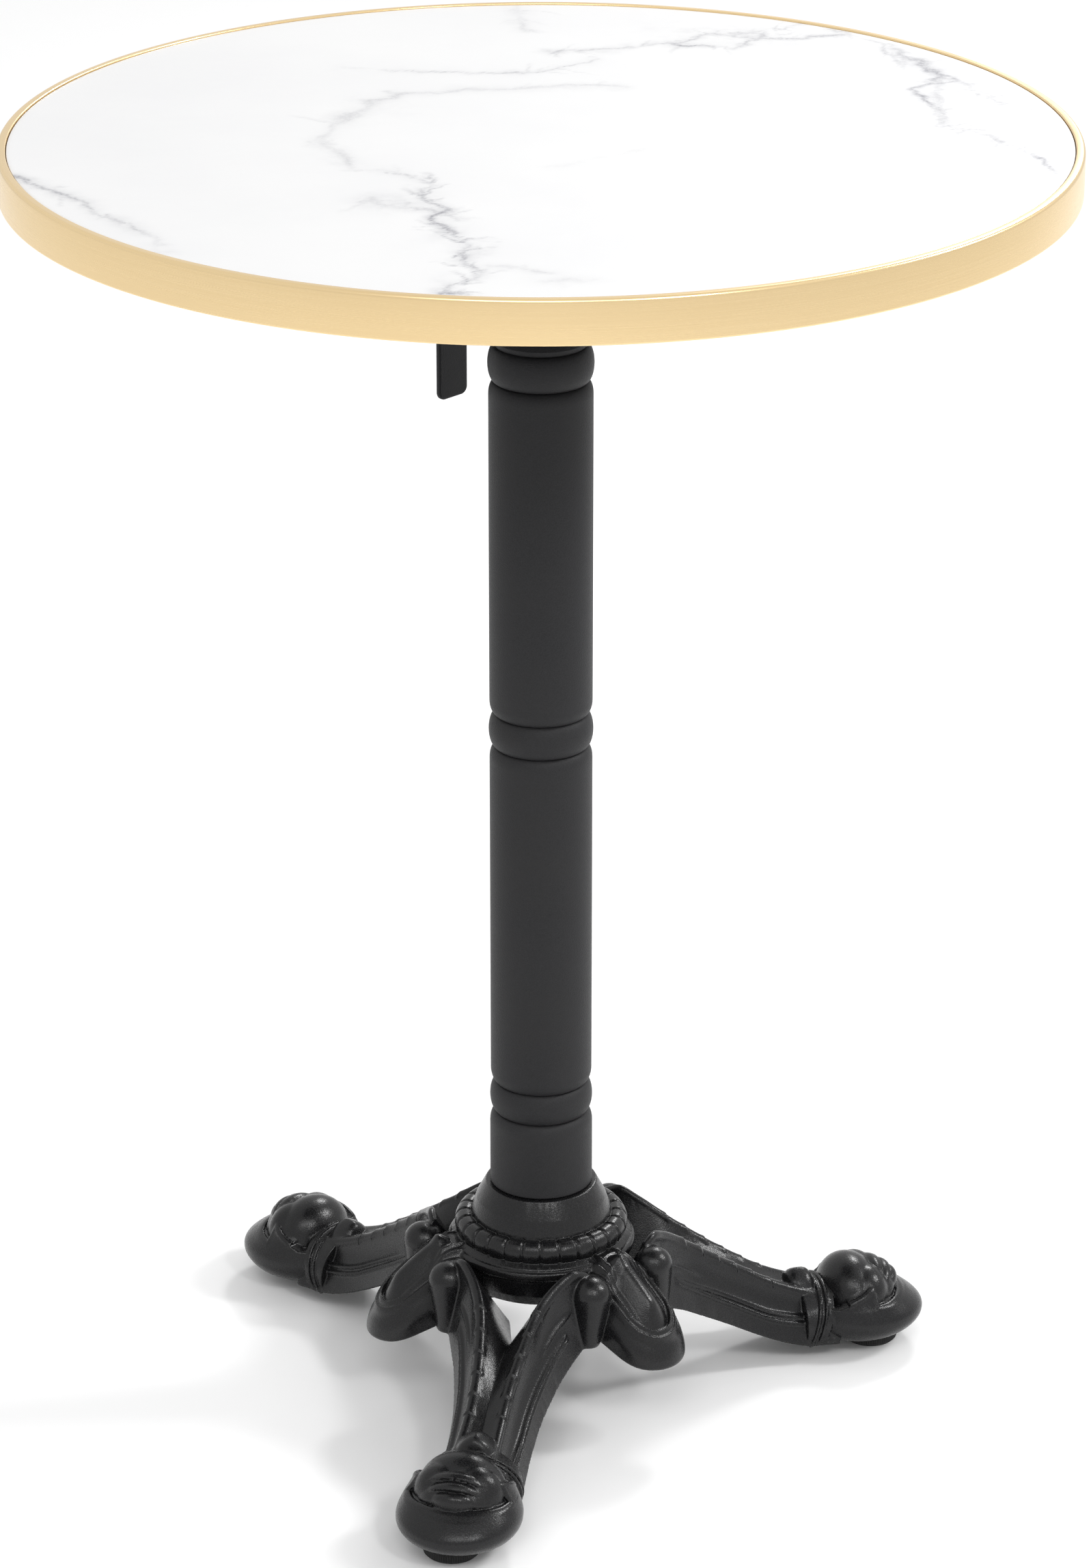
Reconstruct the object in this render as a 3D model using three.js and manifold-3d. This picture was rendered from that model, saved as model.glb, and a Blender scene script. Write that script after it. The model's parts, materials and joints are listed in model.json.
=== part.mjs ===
// A tilt-top bistro table: a brass-edged marble disc on a turned column and a three-legged cast-iron base.
// Millimetres, +Z up. The origin is on the floor under the column's axis; the front leg points along -Y.
import * as THREE from 'three';
import { mergeVertices } from 'three/addons/utils/BufferGeometryUtils.js';
import Module from 'manifold-3d';

const wasm = await Module();
wasm.setup();

// ---------------------------------------------------------------- driving dimensions
const GAP = 0.3; // clearance between pieces that touch
const BORE_CLEARANCE = 0.4; // between a pin, rod or bolt and the hole it passes through

const TOP = { radius: 290, rimHeight: 24, rimLip: 5, rimWall: 2.4, rimCorner: 2.2, height: 751, recess: 0.8 };
const SHEET = { marble: 3, backing: 1, backingAboveRim: 0.9, edgeClearance: 0.5 };
const COLUMN = { bottom: 132.3, top: 695, radius: 28.75, bore: 22, neckRadius: 26 };
const BEADS = [[177.4, 196.1], [401.7, 421.3], [615, 635.5]]; // lower and upper height of each ring
const GROOVE = { depth: 2, halfWidth: 1.5 };
const HUB = { top: 132, bottom: 73, recessRadius: 38, recessTop: 89 };
const ROD = { radius: 6, bottom: 74, top: 722.4 };
const PLATE = { side: 190, thickness: 4.5, corner: 14, screwOffset: 80 };
const SCREW = { radius: 2.4, hole: 2.9, head: 5, headHeight: 2.6, length: 14, point: 3 };
const PIVOT = { x: 20, z: 707, pinRadius: 5, barrelRadius: 9, barrelHalfWidth: 24, washerRadius: 8.5 };
const EAR = { inner: 28.6, thickness: 5 };
const LATCH = { x: -63, z: 714, pinRadius: 3, barrelRadius: 6, blade: 3, width: 22, bottom: 590 };
const LATCH_EAR = { inner: 15.6, outer: 19, radius: 7 };
const FOOT_BOTTOM = 9.5; // height of the castings' underside above the floor
const GLIDE = { reach: 203, side: -3, radius: 16, padHeight: 6, flange: 7.5, studRadius: 4, studTop: 31 };
const LEG_ANGLES = { front: -90, right: 30, left: 150 }; // degrees round the column
const MECHANISM_ANGLE = -30; // the side of the top that swings down

// ---------------------------------------------------------------- materials
const finish = (color, roughness, metalness) =>
  new THREE.MeshStandardMaterial({ color, roughness, metalness });
const MARBLE = finish(0xf4f4f2, 0.25, 0);
const BOARD = finish(0xb08d62, 0.8, 0);
const BACKING = finish(0x2b2b2c, 0.7, 0);
const BRASS = finish(0xd2b27a, 0.35, 1);
const CAST_IRON = finish(0x232325, 0.45, 0.3);
const POWDER_COAT = finish(0x2a2a2d, 0.65, 0.2);
const ZINC = finish(0xa9adb0, 0.4, 1);
const RUBBER = finish(0x161616, 0.9, 0);
const NYLON = finish(0xdedcd2, 0.6, 0);

// ---------------------------------------------------------------- geometry helpers
const radians = THREE.MathUtils.degToRad;

/** Merges shared corners and makes every face point out. */
function closed(geometry) {
  const bare = geometry.clone();
  bare.deleteAttribute('normal');
  bare.deleteAttribute('uv');
  const merged = mergeVertices(bare, 1e-4);
  const p = merged.getAttribute('position');
  const index = Array.from(merged.index.array);
  const [a, b, c] = [new THREE.Vector3(), new THREE.Vector3(), new THREE.Vector3()];
  let volume = 0;
  const kept = [];
  for (let i = 0; i < index.length; i += 3) {
    const [i0, i1, i2] = index.slice(i, i + 3);
    if (i0 === i1 || i1 === i2 || i0 === i2) continue;
    kept.push(i0, i1, i2);
    a.fromBufferAttribute(p, i0);
    b.fromBufferAttribute(p, i1);
    c.fromBufferAttribute(p, i2);
    volume += a.dot(b.cross(c));
  }
  if (volume < 0) {
    for (let i = 0; i < kept.length; i += 3) [kept[i], kept[i + 1]] = [kept[i + 1], kept[i]];
  }
  merged.setIndex(kept);
  return merged;
}

function toSolid(geometry) {
  const mesh = closed(geometry);
  return new wasm.Manifold(new wasm.Mesh({
    numProp: 3,
    vertProperties: new Float32Array(mesh.getAttribute('position').array),
    triVerts: new Uint32Array(mesh.index.array),
  }));
}

function toGeometry(solid) {
  const mesh = solid.getMesh();
  const geometry = new THREE.BufferGeometry();
  geometry.setAttribute('position', new THREE.BufferAttribute(mesh.vertProperties, 3));
  geometry.setIndex(new THREE.BufferAttribute(mesh.triVerts, 1));
  return geometry;
}

const union = (geometries) => geometries.map(toSolid).reduce((all, one) => all.add(one));
const cut = (body, holes) => toGeometry(holes.map(toSolid).reduce((rest, hole) => rest.subtract(hole), body));

/** A solid of revolution about the vertical through the origin, from [radius, height] pairs. */
function turned(profile, segments = 32) {
  const points = profile.map(([r, z]) => new THREE.Vector2(r, z));
  return new THREE.LatheGeometry(points, segments).rotateX(Math.PI / 2);
}

/** The same, about the local Y axis, from [radius, y] pairs. */
function turnedAlongY(profile, segments = 16) {
  return new THREE.LatheGeometry(profile.map(([r, y]) => new THREE.Vector2(r, y)), segments);
}

const ring = (inner, outer, low, high) =>
  [[inner, low], [outer, low], [outer, high], [inner, high], [inner, low]];
const rod = (radius, low, high) => [[0, low], [radius, low], [radius, high], [0, high]];

/** Pushes an outline drawn in X and Z through a width along Y, centred on Y = middle. */
function sideProfile(shape, width, middle = 0, curveSegments = 6) {
  return new THREE.ExtrudeGeometry(shape, { depth: width, bevelEnabled: false, curveSegments })
    .rotateX(Math.PI / 2)
    .translate(0, middle + width / 2, 0);
}

/** Skins a stack of rings that have the same number of points, with flat ends. */
function lofted(rings) {
  const n = rings[0].length;
  const positions = rings.flat().flatMap((p) => [p.x, p.y, p.z]);
  const index = [];
  for (let s = 0; s < rings.length - 1; s += 1) {
    for (let i = 0; i < n; i += 1) {
      const [a, b] = [s * n + i, s * n + ((i + 1) % n)];
      index.push(a, b, b + n, a, b + n, a + n);
    }
  }
  const last = (rings.length - 1) * n;
  for (let i = 1; i < n - 1; i += 1) {
    index.push(0, i + 1, i);
    index.push(last, last + i, last + i + 1);
  }
  const geometry = new THREE.BufferGeometry();
  geometry.setAttribute('position', new THREE.Float32BufferAttribute(positions, 3));
  geometry.setIndex(index);
  return geometry;
}

function ellipsoid(centre, semiAxes, across = 12, up = 8) {
  return new THREE.SphereGeometry(1, across, up)
    .rotateX(Math.PI / 2)
    .scale(...semiAxes)
    .translate(...centre);
}

/** A rectangle with rounded corners, centred on (x, y). */
function roundedRectangle(x, y, width, height, radius) {
  const [w, h, quarter] = [width / 2 - radius, height / 2 - radius, Math.PI / 2];
  const shape = new THREE.Shape();
  shape.absarc(x + w, y + h, radius, 0, quarter);
  shape.absarc(x - w, y + h, radius, quarter, 2 * quarter);
  shape.absarc(x - w, y - h, radius, 2 * quarter, 3 * quarter);
  shape.absarc(x + w, y - h, radius, 3 * quarter, 4 * quarter);
  return shape;
}

function circleHole(shape, x, y, radius) {
  const hole = new THREE.Path();
  hole.absarc(x, y, radius, 0, 2 * Math.PI);
  shape.holes.push(hole);
}

/** A hexagon nut standing on Z = low, with a round hole. */
function hexNut(radius, hole, low, high) {
  const outline = new THREE.Shape();
  for (let i = 0; i < 6; i += 1) {
    const angle = (Math.PI * i) / 3;
    const corner = [radius * Math.cos(angle), radius * Math.sin(angle)];
    if (i === 0) outline.moveTo(...corner);
    else outline.lineTo(...corner);
  }
  circleHole(outline, 0, 0, hole);
  return new THREE.ExtrudeGeometry(outline, { depth: high - low, bevelEnabled: false, curveSegments: 8 })
    .translate(0, 0, low);
}

const table = new THREE.Group();
const mechanism = new THREE.Group(); // local +X points to the side that swings down, +Y along the pivot
mechanism.rotation.z = radians(MECHANISM_ANGLE);
table.add(mechanism);

function add(group, name, geometry, material) {
  const mesh = new THREE.Mesh(closed(geometry), material);
  mesh.name = name;
  group.add(mesh);
  return mesh;
}

// ---------------------------------------------------------------- the round top
const rimBottom = TOP.height - TOP.rimHeight;
const marbleTop = TOP.height - TOP.recess;
const coreTop = marbleTop - SHEET.marble - GAP;
const backingBottom = rimBottom + SHEET.backingAboveRim;
const coreBottom = backingBottom + SHEET.backing + GAP;
const plateTop = backingBottom - GAP;
const plateBottom = plateTop - PLATE.thickness;

function brassEdgeBand() {
  const { radius, height, rimWall: wall, rimCorner: corner } = TOP;
  const inside = radius - TOP.rimLip;
  const chamfer = 0.5;
  const profile = [[inside, height - corner], [inside, height - chamfer], [inside + chamfer, height]];
  for (const angle of [90, 60, 30, 0]) {
    const [c, s] = [Math.cos(radians(angle)), Math.sin(radians(angle))];
    profile.push([radius - corner + corner * c, height - corner + corner * s]);
  }
  for (const angle of [0, -45, -90]) {
    const [c, s] = [Math.cos(radians(angle)), Math.sin(radians(angle))];
    profile.push([radius - corner + corner * c, rimBottom + corner + corner * s]);
  }
  profile.push([radius - wall, rimBottom], [radius - wall, height - corner]);
  profile.push(profile[0]);
  return turned(profile, 80);
}

add(table, 'brass_edge_band', brassEdgeBand(), BRASS);
const boardRadius = TOP.radius - TOP.rimWall - SHEET.edgeClearance;
const marbleRadius = TOP.radius - TOP.rimLip - SHEET.edgeClearance;
add(table, 'marble_sheet', turned(rod(marbleRadius, marbleTop - SHEET.marble, marbleTop), 72), MARBLE);

const screwPlaces = [[1, 1], [1, -1], [-1, 1], [-1, -1]].map(([x, y]) =>
  [x * PLATE.screwOffset, y * PLATE.screwOffset]);
const drill = (x, y, radius, low, high) => turned(rod(radius, low, high), 12).translate(x, y, 0);
const screwTip = plateBottom - GAP + SCREW.length;

const boardHoles = screwPlaces.map(([x, y]) => drill(x, y, SCREW.hole, rimBottom, screwTip + GAP));
const board = (low, high) => cut(toSolid(turned(rod(boardRadius, low, high), 72)), boardHoles);
add(mechanism, 'top_core', board(coreBottom, coreTop), BOARD);
add(mechanism, 'backing_sheet', board(backingBottom, backingBottom + SHEET.backing), BACKING);

// ---------------------------------------------------------------- the tilt mechanism
/** One vertical ear under the plate, with its pin hole, from Y = low to Y = high. */
function ear(x, z, radius, hole, low, high) {
  const shape = new THREE.Shape();
  const top = plateBottom + 1; // reaches into the plate
  shape.moveTo(x + radius, top);
  shape.lineTo(x - radius, top);
  shape.absarc(x, z, radius, Math.PI, 2 * Math.PI);
  circleHole(shape, x, z, hole);
  return sideProfile(shape, high - low, (low + high) / 2);
}

function mountingPlate() {
  const outline = roundedRectangle(0, 0, PLATE.side, PLATE.side, PLATE.corner);
  for (const [x, y] of screwPlaces) circleHole(outline, x, y, SCREW.hole);
  const pressed = { depth: PLATE.thickness, bevelEnabled: false, curveSegments: 3 };
  const sheet = new THREE.ExtrudeGeometry(outline, pressed).translate(0, 0, plateBottom);
  const tiltEar = (low, high) =>
    ear(PIVOT.x, PIVOT.z, PIVOT.barrelRadius, PIVOT.pinRadius + BORE_CLEARANCE, low, high);
  const latchEar = (low, high) =>
    ear(LATCH.x, LATCH.z, LATCH_EAR.radius, LATCH.pinRadius + BORE_CLEARANCE, low, high);
  const earOuter = EAR.inner + EAR.thickness;
  return toGeometry(union([
    sheet,
    tiltEar(EAR.inner, earOuter),
    tiltEar(-earOuter, -EAR.inner),
    latchEar(LATCH_EAR.inner, LATCH_EAR.outer),
    latchEar(-LATCH_EAR.outer, -LATCH_EAR.inner),
  ]));
}
add(mechanism, 'mounting_plate', mountingPlate(), POWDER_COAT);

screwPlaces.forEach(([x, y], i) => {
  const headTop = plateBottom - GAP;
  const profile = [[0, headTop - SCREW.headHeight], [SCREW.head - 1.5, headTop - SCREW.headHeight],
    [SCREW.head, headTop], [SCREW.radius, headTop], [SCREW.radius, screwTip - SCREW.point], [0, screwTip]];
  add(mechanism, `plate_screw_${i + 1}`, turned(profile, 12).translate(x, y, 0), ZINC);
});

const BOLT = { head: 8, headHeight: 5, nut: 9, nutHeight: 7, stickOut: 1.7 };
const earFace = EAR.inner + EAR.thickness + GAP;

function hingePin() {
  const end = earFace + BOLT.nutHeight + BOLT.stickOut;
  const { pinRadius } = PIVOT;
  const profile = [[0, -end], [pinRadius - 1, -end], [pinRadius, 1 - end], [pinRadius, earFace],
    [BOLT.head, earFace], [BOLT.head, earFace + BOLT.headHeight - 1],
    [BOLT.head - 1.5, earFace + BOLT.headHeight], [0, earFace + BOLT.headHeight]];
  return turnedAlongY(profile).translate(PIVOT.x, 0, PIVOT.z);
}
add(mechanism, 'hinge_pin', hingePin(), ZINC);

const hingeNut = hexNut(BOLT.nut, PIVOT.pinRadius + BORE_CLEARANCE, earFace, earFace + BOLT.nutHeight)
  .rotateX(Math.PI / 2)
  .translate(PIVOT.x, 0, PIVOT.z);
add(mechanism, 'hinge_nut', hingeNut, ZINC);
const washerSpan = [PIVOT.barrelHalfWidth + GAP, EAR.inner - GAP];
for (const [name, side] of [['hinge_washer_a', 1], ['hinge_washer_b', -1]]) {
  const [low, high] = washerSpan.map((y) => y * side).sort((a, b) => a - b);
  const washer = turnedAlongY(ring(PIVOT.pinRadius + BORE_CLEARANCE, PIVOT.washerRadius, low, high));
  add(mechanism, name, washer.translate(PIVOT.x, 0, PIVOT.z), NYLON);
}

/** Seat casting on the column: pivot barrel, saddle for the rests, and the lip that the latch hooks under. */
const HEAD = {
  floor: 703,
  deck: 711,
  saddle: 719,
  saddleOuter: -39,
  saddleInner: -23,
  lip: 707,
  lipEnd: -53,
  flange: 27,
  spigotDepth: 18,
  spigotClearance: 0.8,
};
const BUMPER = { radius: 6.5, side: 14 };

function columnHead() {
  const shape = new THREE.Shape();
  shape.moveTo(HEAD.lipEnd, HEAD.floor);
  shape.lineTo(PIVOT.x - 4, HEAD.floor);
  const deckAngle = Math.PI - Math.asin((HEAD.deck - PIVOT.z) / PIVOT.barrelRadius);
  shape.absarc(PIVOT.x, PIVOT.z, PIVOT.barrelRadius, radians(-115), deckAngle);
  shape.lineTo(HEAD.saddleInner, HEAD.deck);
  shape.lineTo(HEAD.saddleInner, HEAD.saddle);
  shape.lineTo(HEAD.saddleOuter, HEAD.saddle);
  shape.lineTo(HEAD.saddleOuter, HEAD.lip);
  shape.lineTo(HEAD.lipEnd, HEAD.lip);
  const beam = sideProfile(shape, 2 * PIVOT.barrelHalfWidth, 0, 10);
  const spigot = COLUMN.bore - HEAD.spigotClearance;
  const [low, seat, top] = [COLUMN.top - HEAD.spigotDepth, COLUMN.top + GAP, HEAD.floor + 1];
  const flange = turned([
    [0, low], [spigot, low], [spigot, seat], [HEAD.flange, seat], [HEAD.flange, top], [0, top],
  ]);
  const halfWidth = PIVOT.barrelHalfWidth + 1;
  const bore = turnedAlongY(rod(PIVOT.pinRadius + BORE_CLEARANCE, -halfWidth, halfWidth))
    .translate(PIVOT.x, 0, PIVOT.z);
  return cut(union([beam, flange]), [bore, turned(rod(ROD.radius + 0.6, low - 1, HEAD.saddle), 16)]);
}
add(mechanism, 'column_head', columnHead(), POWDER_COAT);

const bumperX = (HEAD.saddleOuter + HEAD.saddleInner) / 2;
for (const [name, y] of [['rest_bumper_a', BUMPER.side], ['rest_bumper_b', -BUMPER.side]]) {
  const pad = turned(rod(BUMPER.radius, HEAD.saddle + GAP, plateBottom - GAP), 16).translate(bumperX, y, 0);
  add(mechanism, name, pad, RUBBER);
}

/** Pull blade with a hook that catches under the lip of the column head. */
function latchLever() {
  const { x, z, barrelRadius } = LATCH;
  const [face, back] = [x - barrelRadius + LATCH.blade, x - barrelRadius];
  const nose = { tip: HEAD.lipEnd + 4, low: HEAD.floor - 4, top: HEAD.floor - GAP, chamfer: 2 };
  const tangent = barrelRadius * Math.SQRT1_2;
  const hook = new THREE.Shape();
  hook.moveTo(back, nose.low - nose.chamfer);
  hook.lineTo(face, nose.low - nose.chamfer);
  hook.lineTo(face + nose.chamfer, nose.low);
  hook.lineTo(nose.tip, nose.low);
  hook.lineTo(nose.tip, nose.low + 2);
  hook.lineTo(nose.tip - nose.chamfer, nose.top);
  hook.lineTo(face, nose.top);
  hook.lineTo(x + tangent, z - tangent);
  hook.absarc(x, z, barrelRadius, radians(-45), radians(180));
  const [mid, tall] = [(LATCH.bottom + z) / 2, z - LATCH.bottom];
  const blade = new THREE.ExtrudeGeometry(roundedRectangle(0, mid, LATCH.width, tall, 4.5),
    { depth: LATCH.blade, bevelEnabled: false, curveSegments: 5 })
    .rotateX(Math.PI / 2)
    .rotateZ(Math.PI / 2)
    .translate(back, 0, 0);
  const bore = turnedAlongY(rod(LATCH.pinRadius + BORE_CLEARANCE, -LATCH.width, LATCH.width))
    .translate(x, 0, z);
  return cut(union([blade, sideProfile(hook, LATCH.width - 2, 0, 8)]), [bore]);
}
add(mechanism, 'latch_lever', latchLever(), POWDER_COAT);

function latchPin() {
  const [end, head] = [LATCH_EAR.outer + 2, LATCH_EAR.outer + GAP];
  const { pinRadius } = LATCH;
  const profile = [
    [0, -end], [pinRadius, -end], [pinRadius, head],
    [pinRadius + 2, head], [pinRadius + 2, head + 2], [0, head + 2],
  ];
  return turnedAlongY(profile, 12).translate(LATCH.x, 0, LATCH.z);
}
add(mechanism, 'latch_pin', latchPin(), ZINC);

const SPRING = { outer: 5.4, low: 11.6, high: 15.2, wire: 1.6, leg: 26 };

/** Torsion spring beside the lever: a coil round the pin, and one straight leg down past the blade's edge. */
function latchSpring() {
  const coil = turnedAlongY(ring(LATCH.pinRadius + BORE_CLEARANCE, SPRING.outer, SPRING.low, SPRING.high), 16)
    .translate(LATCH.x, 0, LATCH.z);
  const leg = new THREE.BoxGeometry(SPRING.wire, SPRING.wire, SPRING.leg)
    .translate(LATCH.x - SPRING.outer + 1, SPRING.low + 1, LATCH.z - SPRING.leg / 2);
  return toGeometry(union([coil, leg]));
}
add(mechanism, 'latch_spring', latchSpring(), ZINC);

// ---------------------------------------------------------------- column and tie rod
function column() {
  const { bottom, top, radius, bore, neckRadius } = COLUMN;
  const [collar, bead] = [radius + 0.5, radius + 0.4];
  const profile = [[bore, bottom], [collar, bottom]];
  const groove = (z, below, above) => {
    const { depth, halfWidth } = GROOVE;
    const floor = radius - depth;
    profile.push([below, z - halfWidth], [floor, z - 0.5], [floor, z + 0.5], [above, z + halfWidth]);
  };
  BEADS.forEach(([low, high], i) => {
    groove(low, i === 0 ? collar : radius, bead);
    groove(high, bead, i === BEADS.length - 1 ? neckRadius : radius);
  });
  profile.push([neckRadius, top], [bore, top], [bore, bottom]);
  return turned(profile, 24);
}
add(table, 'column', column(), POWDER_COAT);

add(table, 'tie_rod', turned(rod(ROD.radius, ROD.bottom, ROD.top), 12), ZINC);
const NUT = { radius: 10.5, thin: 7.9, tall: 9.7 };
const WASHER = { small: 11, large: 14, thin: 2.1, thick: 2.5 };
const rodHole = ROD.radius + BORE_CLEARANCE;
const washer = (outer, low, high) => turned(ring(rodHole, outer, low, high), 16);
const nut = (low, high) => hexNut(NUT.radius, rodHole, low, high);
const topWasher = HEAD.deck + GAP;
const topNut = topWasher + WASHER.thin + GAP;
const bottomWasher = HUB.recessTop - GAP - WASHER.thick;
const bottomNut = bottomWasher - GAP - NUT.tall;
add(table, 'tie_washer_top', washer(WASHER.small, topWasher, topWasher + WASHER.thin), ZINC);
add(table, 'tie_nut_top', nut(topNut, topNut + NUT.thin), ZINC);
add(table, 'tie_washer_bottom', washer(WASHER.large, bottomWasher, bottomWasher + WASHER.thick), ZINC);
add(table, 'tie_nut_bottom', nut(bottomNut, bottomNut + NUT.tall), ZINC);

// ---------------------------------------------------------------- cast-iron base
function hub() {
  const bore = ROD.radius + 1;
  return turned([
    [bore, HUB.recessTop], [HUB.recessRadius, HUB.recessTop], [HUB.recessRadius, HUB.bottom],
    [46, HUB.bottom], [51, 81], [54, 92], [54, 96], [49, 100], [49.5, 106], [46, 112.5], [40, 113.5],
    [38.5, 116], [36, 123], [31, HUB.top], [bore, HUB.top], [bore, HUB.recessTop],
  ], 32);
}

// Each arm is half of a leg's wishbone: a tent of two webs under a rail, open below. A station gives, at a
// reach x from the column's axis, the rail's crest, the outer web's lower edge and the inner web's lower
// edge, each as a side distance and a height. From reach 80 on the inner webs of both arms meet in a valley.
const ARM = [
  { x: 50, crest: [37, 101], edge: [45, 69], valley: [10, 63] },
  { x: 58, crest: [31.5, 104], edge: [42.5, 62], valley: [7, 61.5] },
  { x: 66, crest: [25, 100], edge: [39, 56.5], valley: [4.5, 60] },
  { x: 75, crest: [19.5, 94], edge: [35.5, 52], valley: [1.5, 59.5] },
  { x: 84, crest: [15.8, 87], edge: [32, 46.5], valley: [-0.5, 59] },
  { x: 95, crest: [13.4, 79], edge: [29, 40], valley: [-0.5, 57] },
  { x: 107, crest: [11.3, 70.5], edge: [26.5, 33], valley: [-0.5, 54] },
  { x: 120, crest: [9.8, 62], edge: [25.2, 25.5], valley: [-0.5, 50] },
  { x: 135, crest: [9.2, 52.5], edge: [25, 18], valley: [-0.5, 44.5] },
  { x: 152, crest: [9.6, 44.5], edge: [26, 12], valley: [-0.5, 38] },
  { x: 170, crest: [11, 37], edge: [27, 10.5], valley: [-0.5, 34] },
];
const RAIL_HALF_WIDTH = 3;
const WEB = { outer: 6, inner: 5.5, ridge: 13 }; // thickness of each web, and of the arm under its rail

function arm(side) {
  return lofted(ARM.map(({ x, crest: [yc, zc], edge: [ye, ze], valley: [yv, zv] }) => {
    const shoulder = yc + RAIL_HALF_WIDTH;
    return [
      [yc - RAIL_HALF_WIDTH, zc - 3], [yc - 1.6, zc - 0.5], [yc + 1.6, zc - 0.5], [shoulder, zc - 3],
      [shoulder + 0.5 * (ye - shoulder), zc + 0.55 * (ze - zc)], [ye, ze], [ye - WEB.outer, ze],
      [yc + 0.5, zc - WEB.ridge], [yv, zv - WEB.inner], [yv, zv],
    ].map(([y, z]) => new THREE.Vector3(x, side * y, z));
  }));
}

// The drooping leaf between two legs: reach, half width, height of its back, height of its lower edge.
const LEAF = [[44, 22, 99, 69], [58, 24, 101, 61], [72, 23.5, 93, 56], [84, 22, 81, 52], [94, 19.5, 69, 48.5],
  [100, 15, 60, 47], [104.5, 8.5, 54, 46.5]];

function leaf() {
  return lofted(LEAF.map(([x, w, top, low]) => [
    [-w, low], [-w, low + 0.35 * (top - low)], [-0.72 * w, low + 0.8 * (top - low)], [-0.3 * w, top],
    [0.3 * w, top], [0.72 * w, low + 0.8 * (top - low)], [w, low + 0.35 * (top - low)], [w, low],
  ].map(([y, z]) => new THREE.Vector3(x, y, z))));
}

// A foot's D-shaped skirt, from the sole up: centre, half length, half width and height.
const SKIRT = [
  [195, 27, 26.5, FOOT_BOTTOM - 0.5], [196, 32, 30.5, 12], [197, 36.5, 34.4, 17.5], [197, 37, 34.8, 22],
  [194, 32.4, 32, 30], [188.5, 26, 28.8, 36], [185, 17, 25.5, 38.5],
];

function footSkirt() {
  const sides = 20;
  return lofted(SKIRT.map(([x, a, b, z]) => Array.from({ length: sides }, (_, i) => {
    const angle = (2 * Math.PI * i) / sides;
    return new THREE.Vector3(x + a * Math.cos(angle), b * Math.sin(angle), z);
  })));
}

const TEARDROP = { centre: [56, 42, 78], semiAxes: [11, 10.5, 20.5] };
const INSTEP = [ // rounded masses above the skirt: the ball, the folded toes, the collar and the bud
  [[189.5, 0, 31.5], [19, 24.5, 22.6]],
  [[199, 0, 28], [22.5, 23, 22.5]],
  [[169, 0, 31], [9, 20, 15.5]],
  [[158, 0, 33], [9, 11, 18.5]],
];

function leg() {
  const [x, y, z] = TEARDROP.centre;
  return [
    arm(1),
    arm(-1),
    ellipsoid([x, y, z], TEARDROP.semiAxes, 10),
    ellipsoid([x, -y, z], TEARDROP.semiAxes, 10),
    footSkirt(),
    ...INSTEP.map(([centre, semiAxes]) => ellipsoid(centre, semiAxes)),
  ];
}

function baseCasting() {
  const pieces = [hub()];
  for (const angle of Object.values(LEG_ANGLES)) {
    for (const piece of leg()) pieces.push(piece.rotateZ(radians(angle)));
    pieces.push(leaf().rotateZ(radians(angle + 60)));
  }
  const studHole = turned(rod(GLIDE.studRadius + 0.5, 0, GLIDE.studTop + 3), 12)
    .translate(GLIDE.reach, GLIDE.side, 0);
  const holes = Object.values(LEG_ANGLES).map((angle) => studHole.clone().rotateZ(radians(angle)));
  const underFeet = new THREE.BoxGeometry(600, 600, FOOT_BOTTOM).translate(0, 0, FOOT_BOTTOM / 2);
  return cut(union(pieces), [...holes, underFeet]);
}
add(table, 'base_casting', baseCasting(), CAST_IRON);

// ---------------------------------------------------------------- levelling glides
for (const [side, angle] of Object.entries(LEG_ANGLES)) {
  const foot = new THREE.Group();
  foot.rotation.z = radians(angle);
  table.add(foot);
  const { reach, side: offset, radius, padHeight, flange, studRadius, studTop } = GLIDE;
  const padProfile = [
    [0, 0], [radius - 1.5, 0], [radius, 1.5], [radius, padHeight - 1], [radius - 1, padHeight], [0, padHeight],
  ];
  const pad = turned(padProfile, 28).translate(reach, offset, 0);
  add(foot, `glide_pad_${side}`, pad, RUBBER);
  const collar = padHeight + GAP;
  const stud = turned([[0, collar], [flange, collar], [flange, collar + 2.5], [studRadius, collar + 2.5],
    [studRadius, studTop - 1], [studRadius - 1, studTop], [0, studTop]], 12).translate(reach, offset, 0);
  add(foot, `glide_stud_${side}`, stud, ZINC);
}

export default table;
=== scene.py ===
"""A tilt-top bistro table: fine meshes, materials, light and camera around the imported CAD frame.

Shapes are worked out in millimetres in the row frame (+Z up, origin on the floor under the column) and
written to Blender in metres. Places come from the frame's own boxes and joints.
"""
import json
import math

import bmesh
import bpy
import numpy as np
from mathutils import Matrix, Vector


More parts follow.
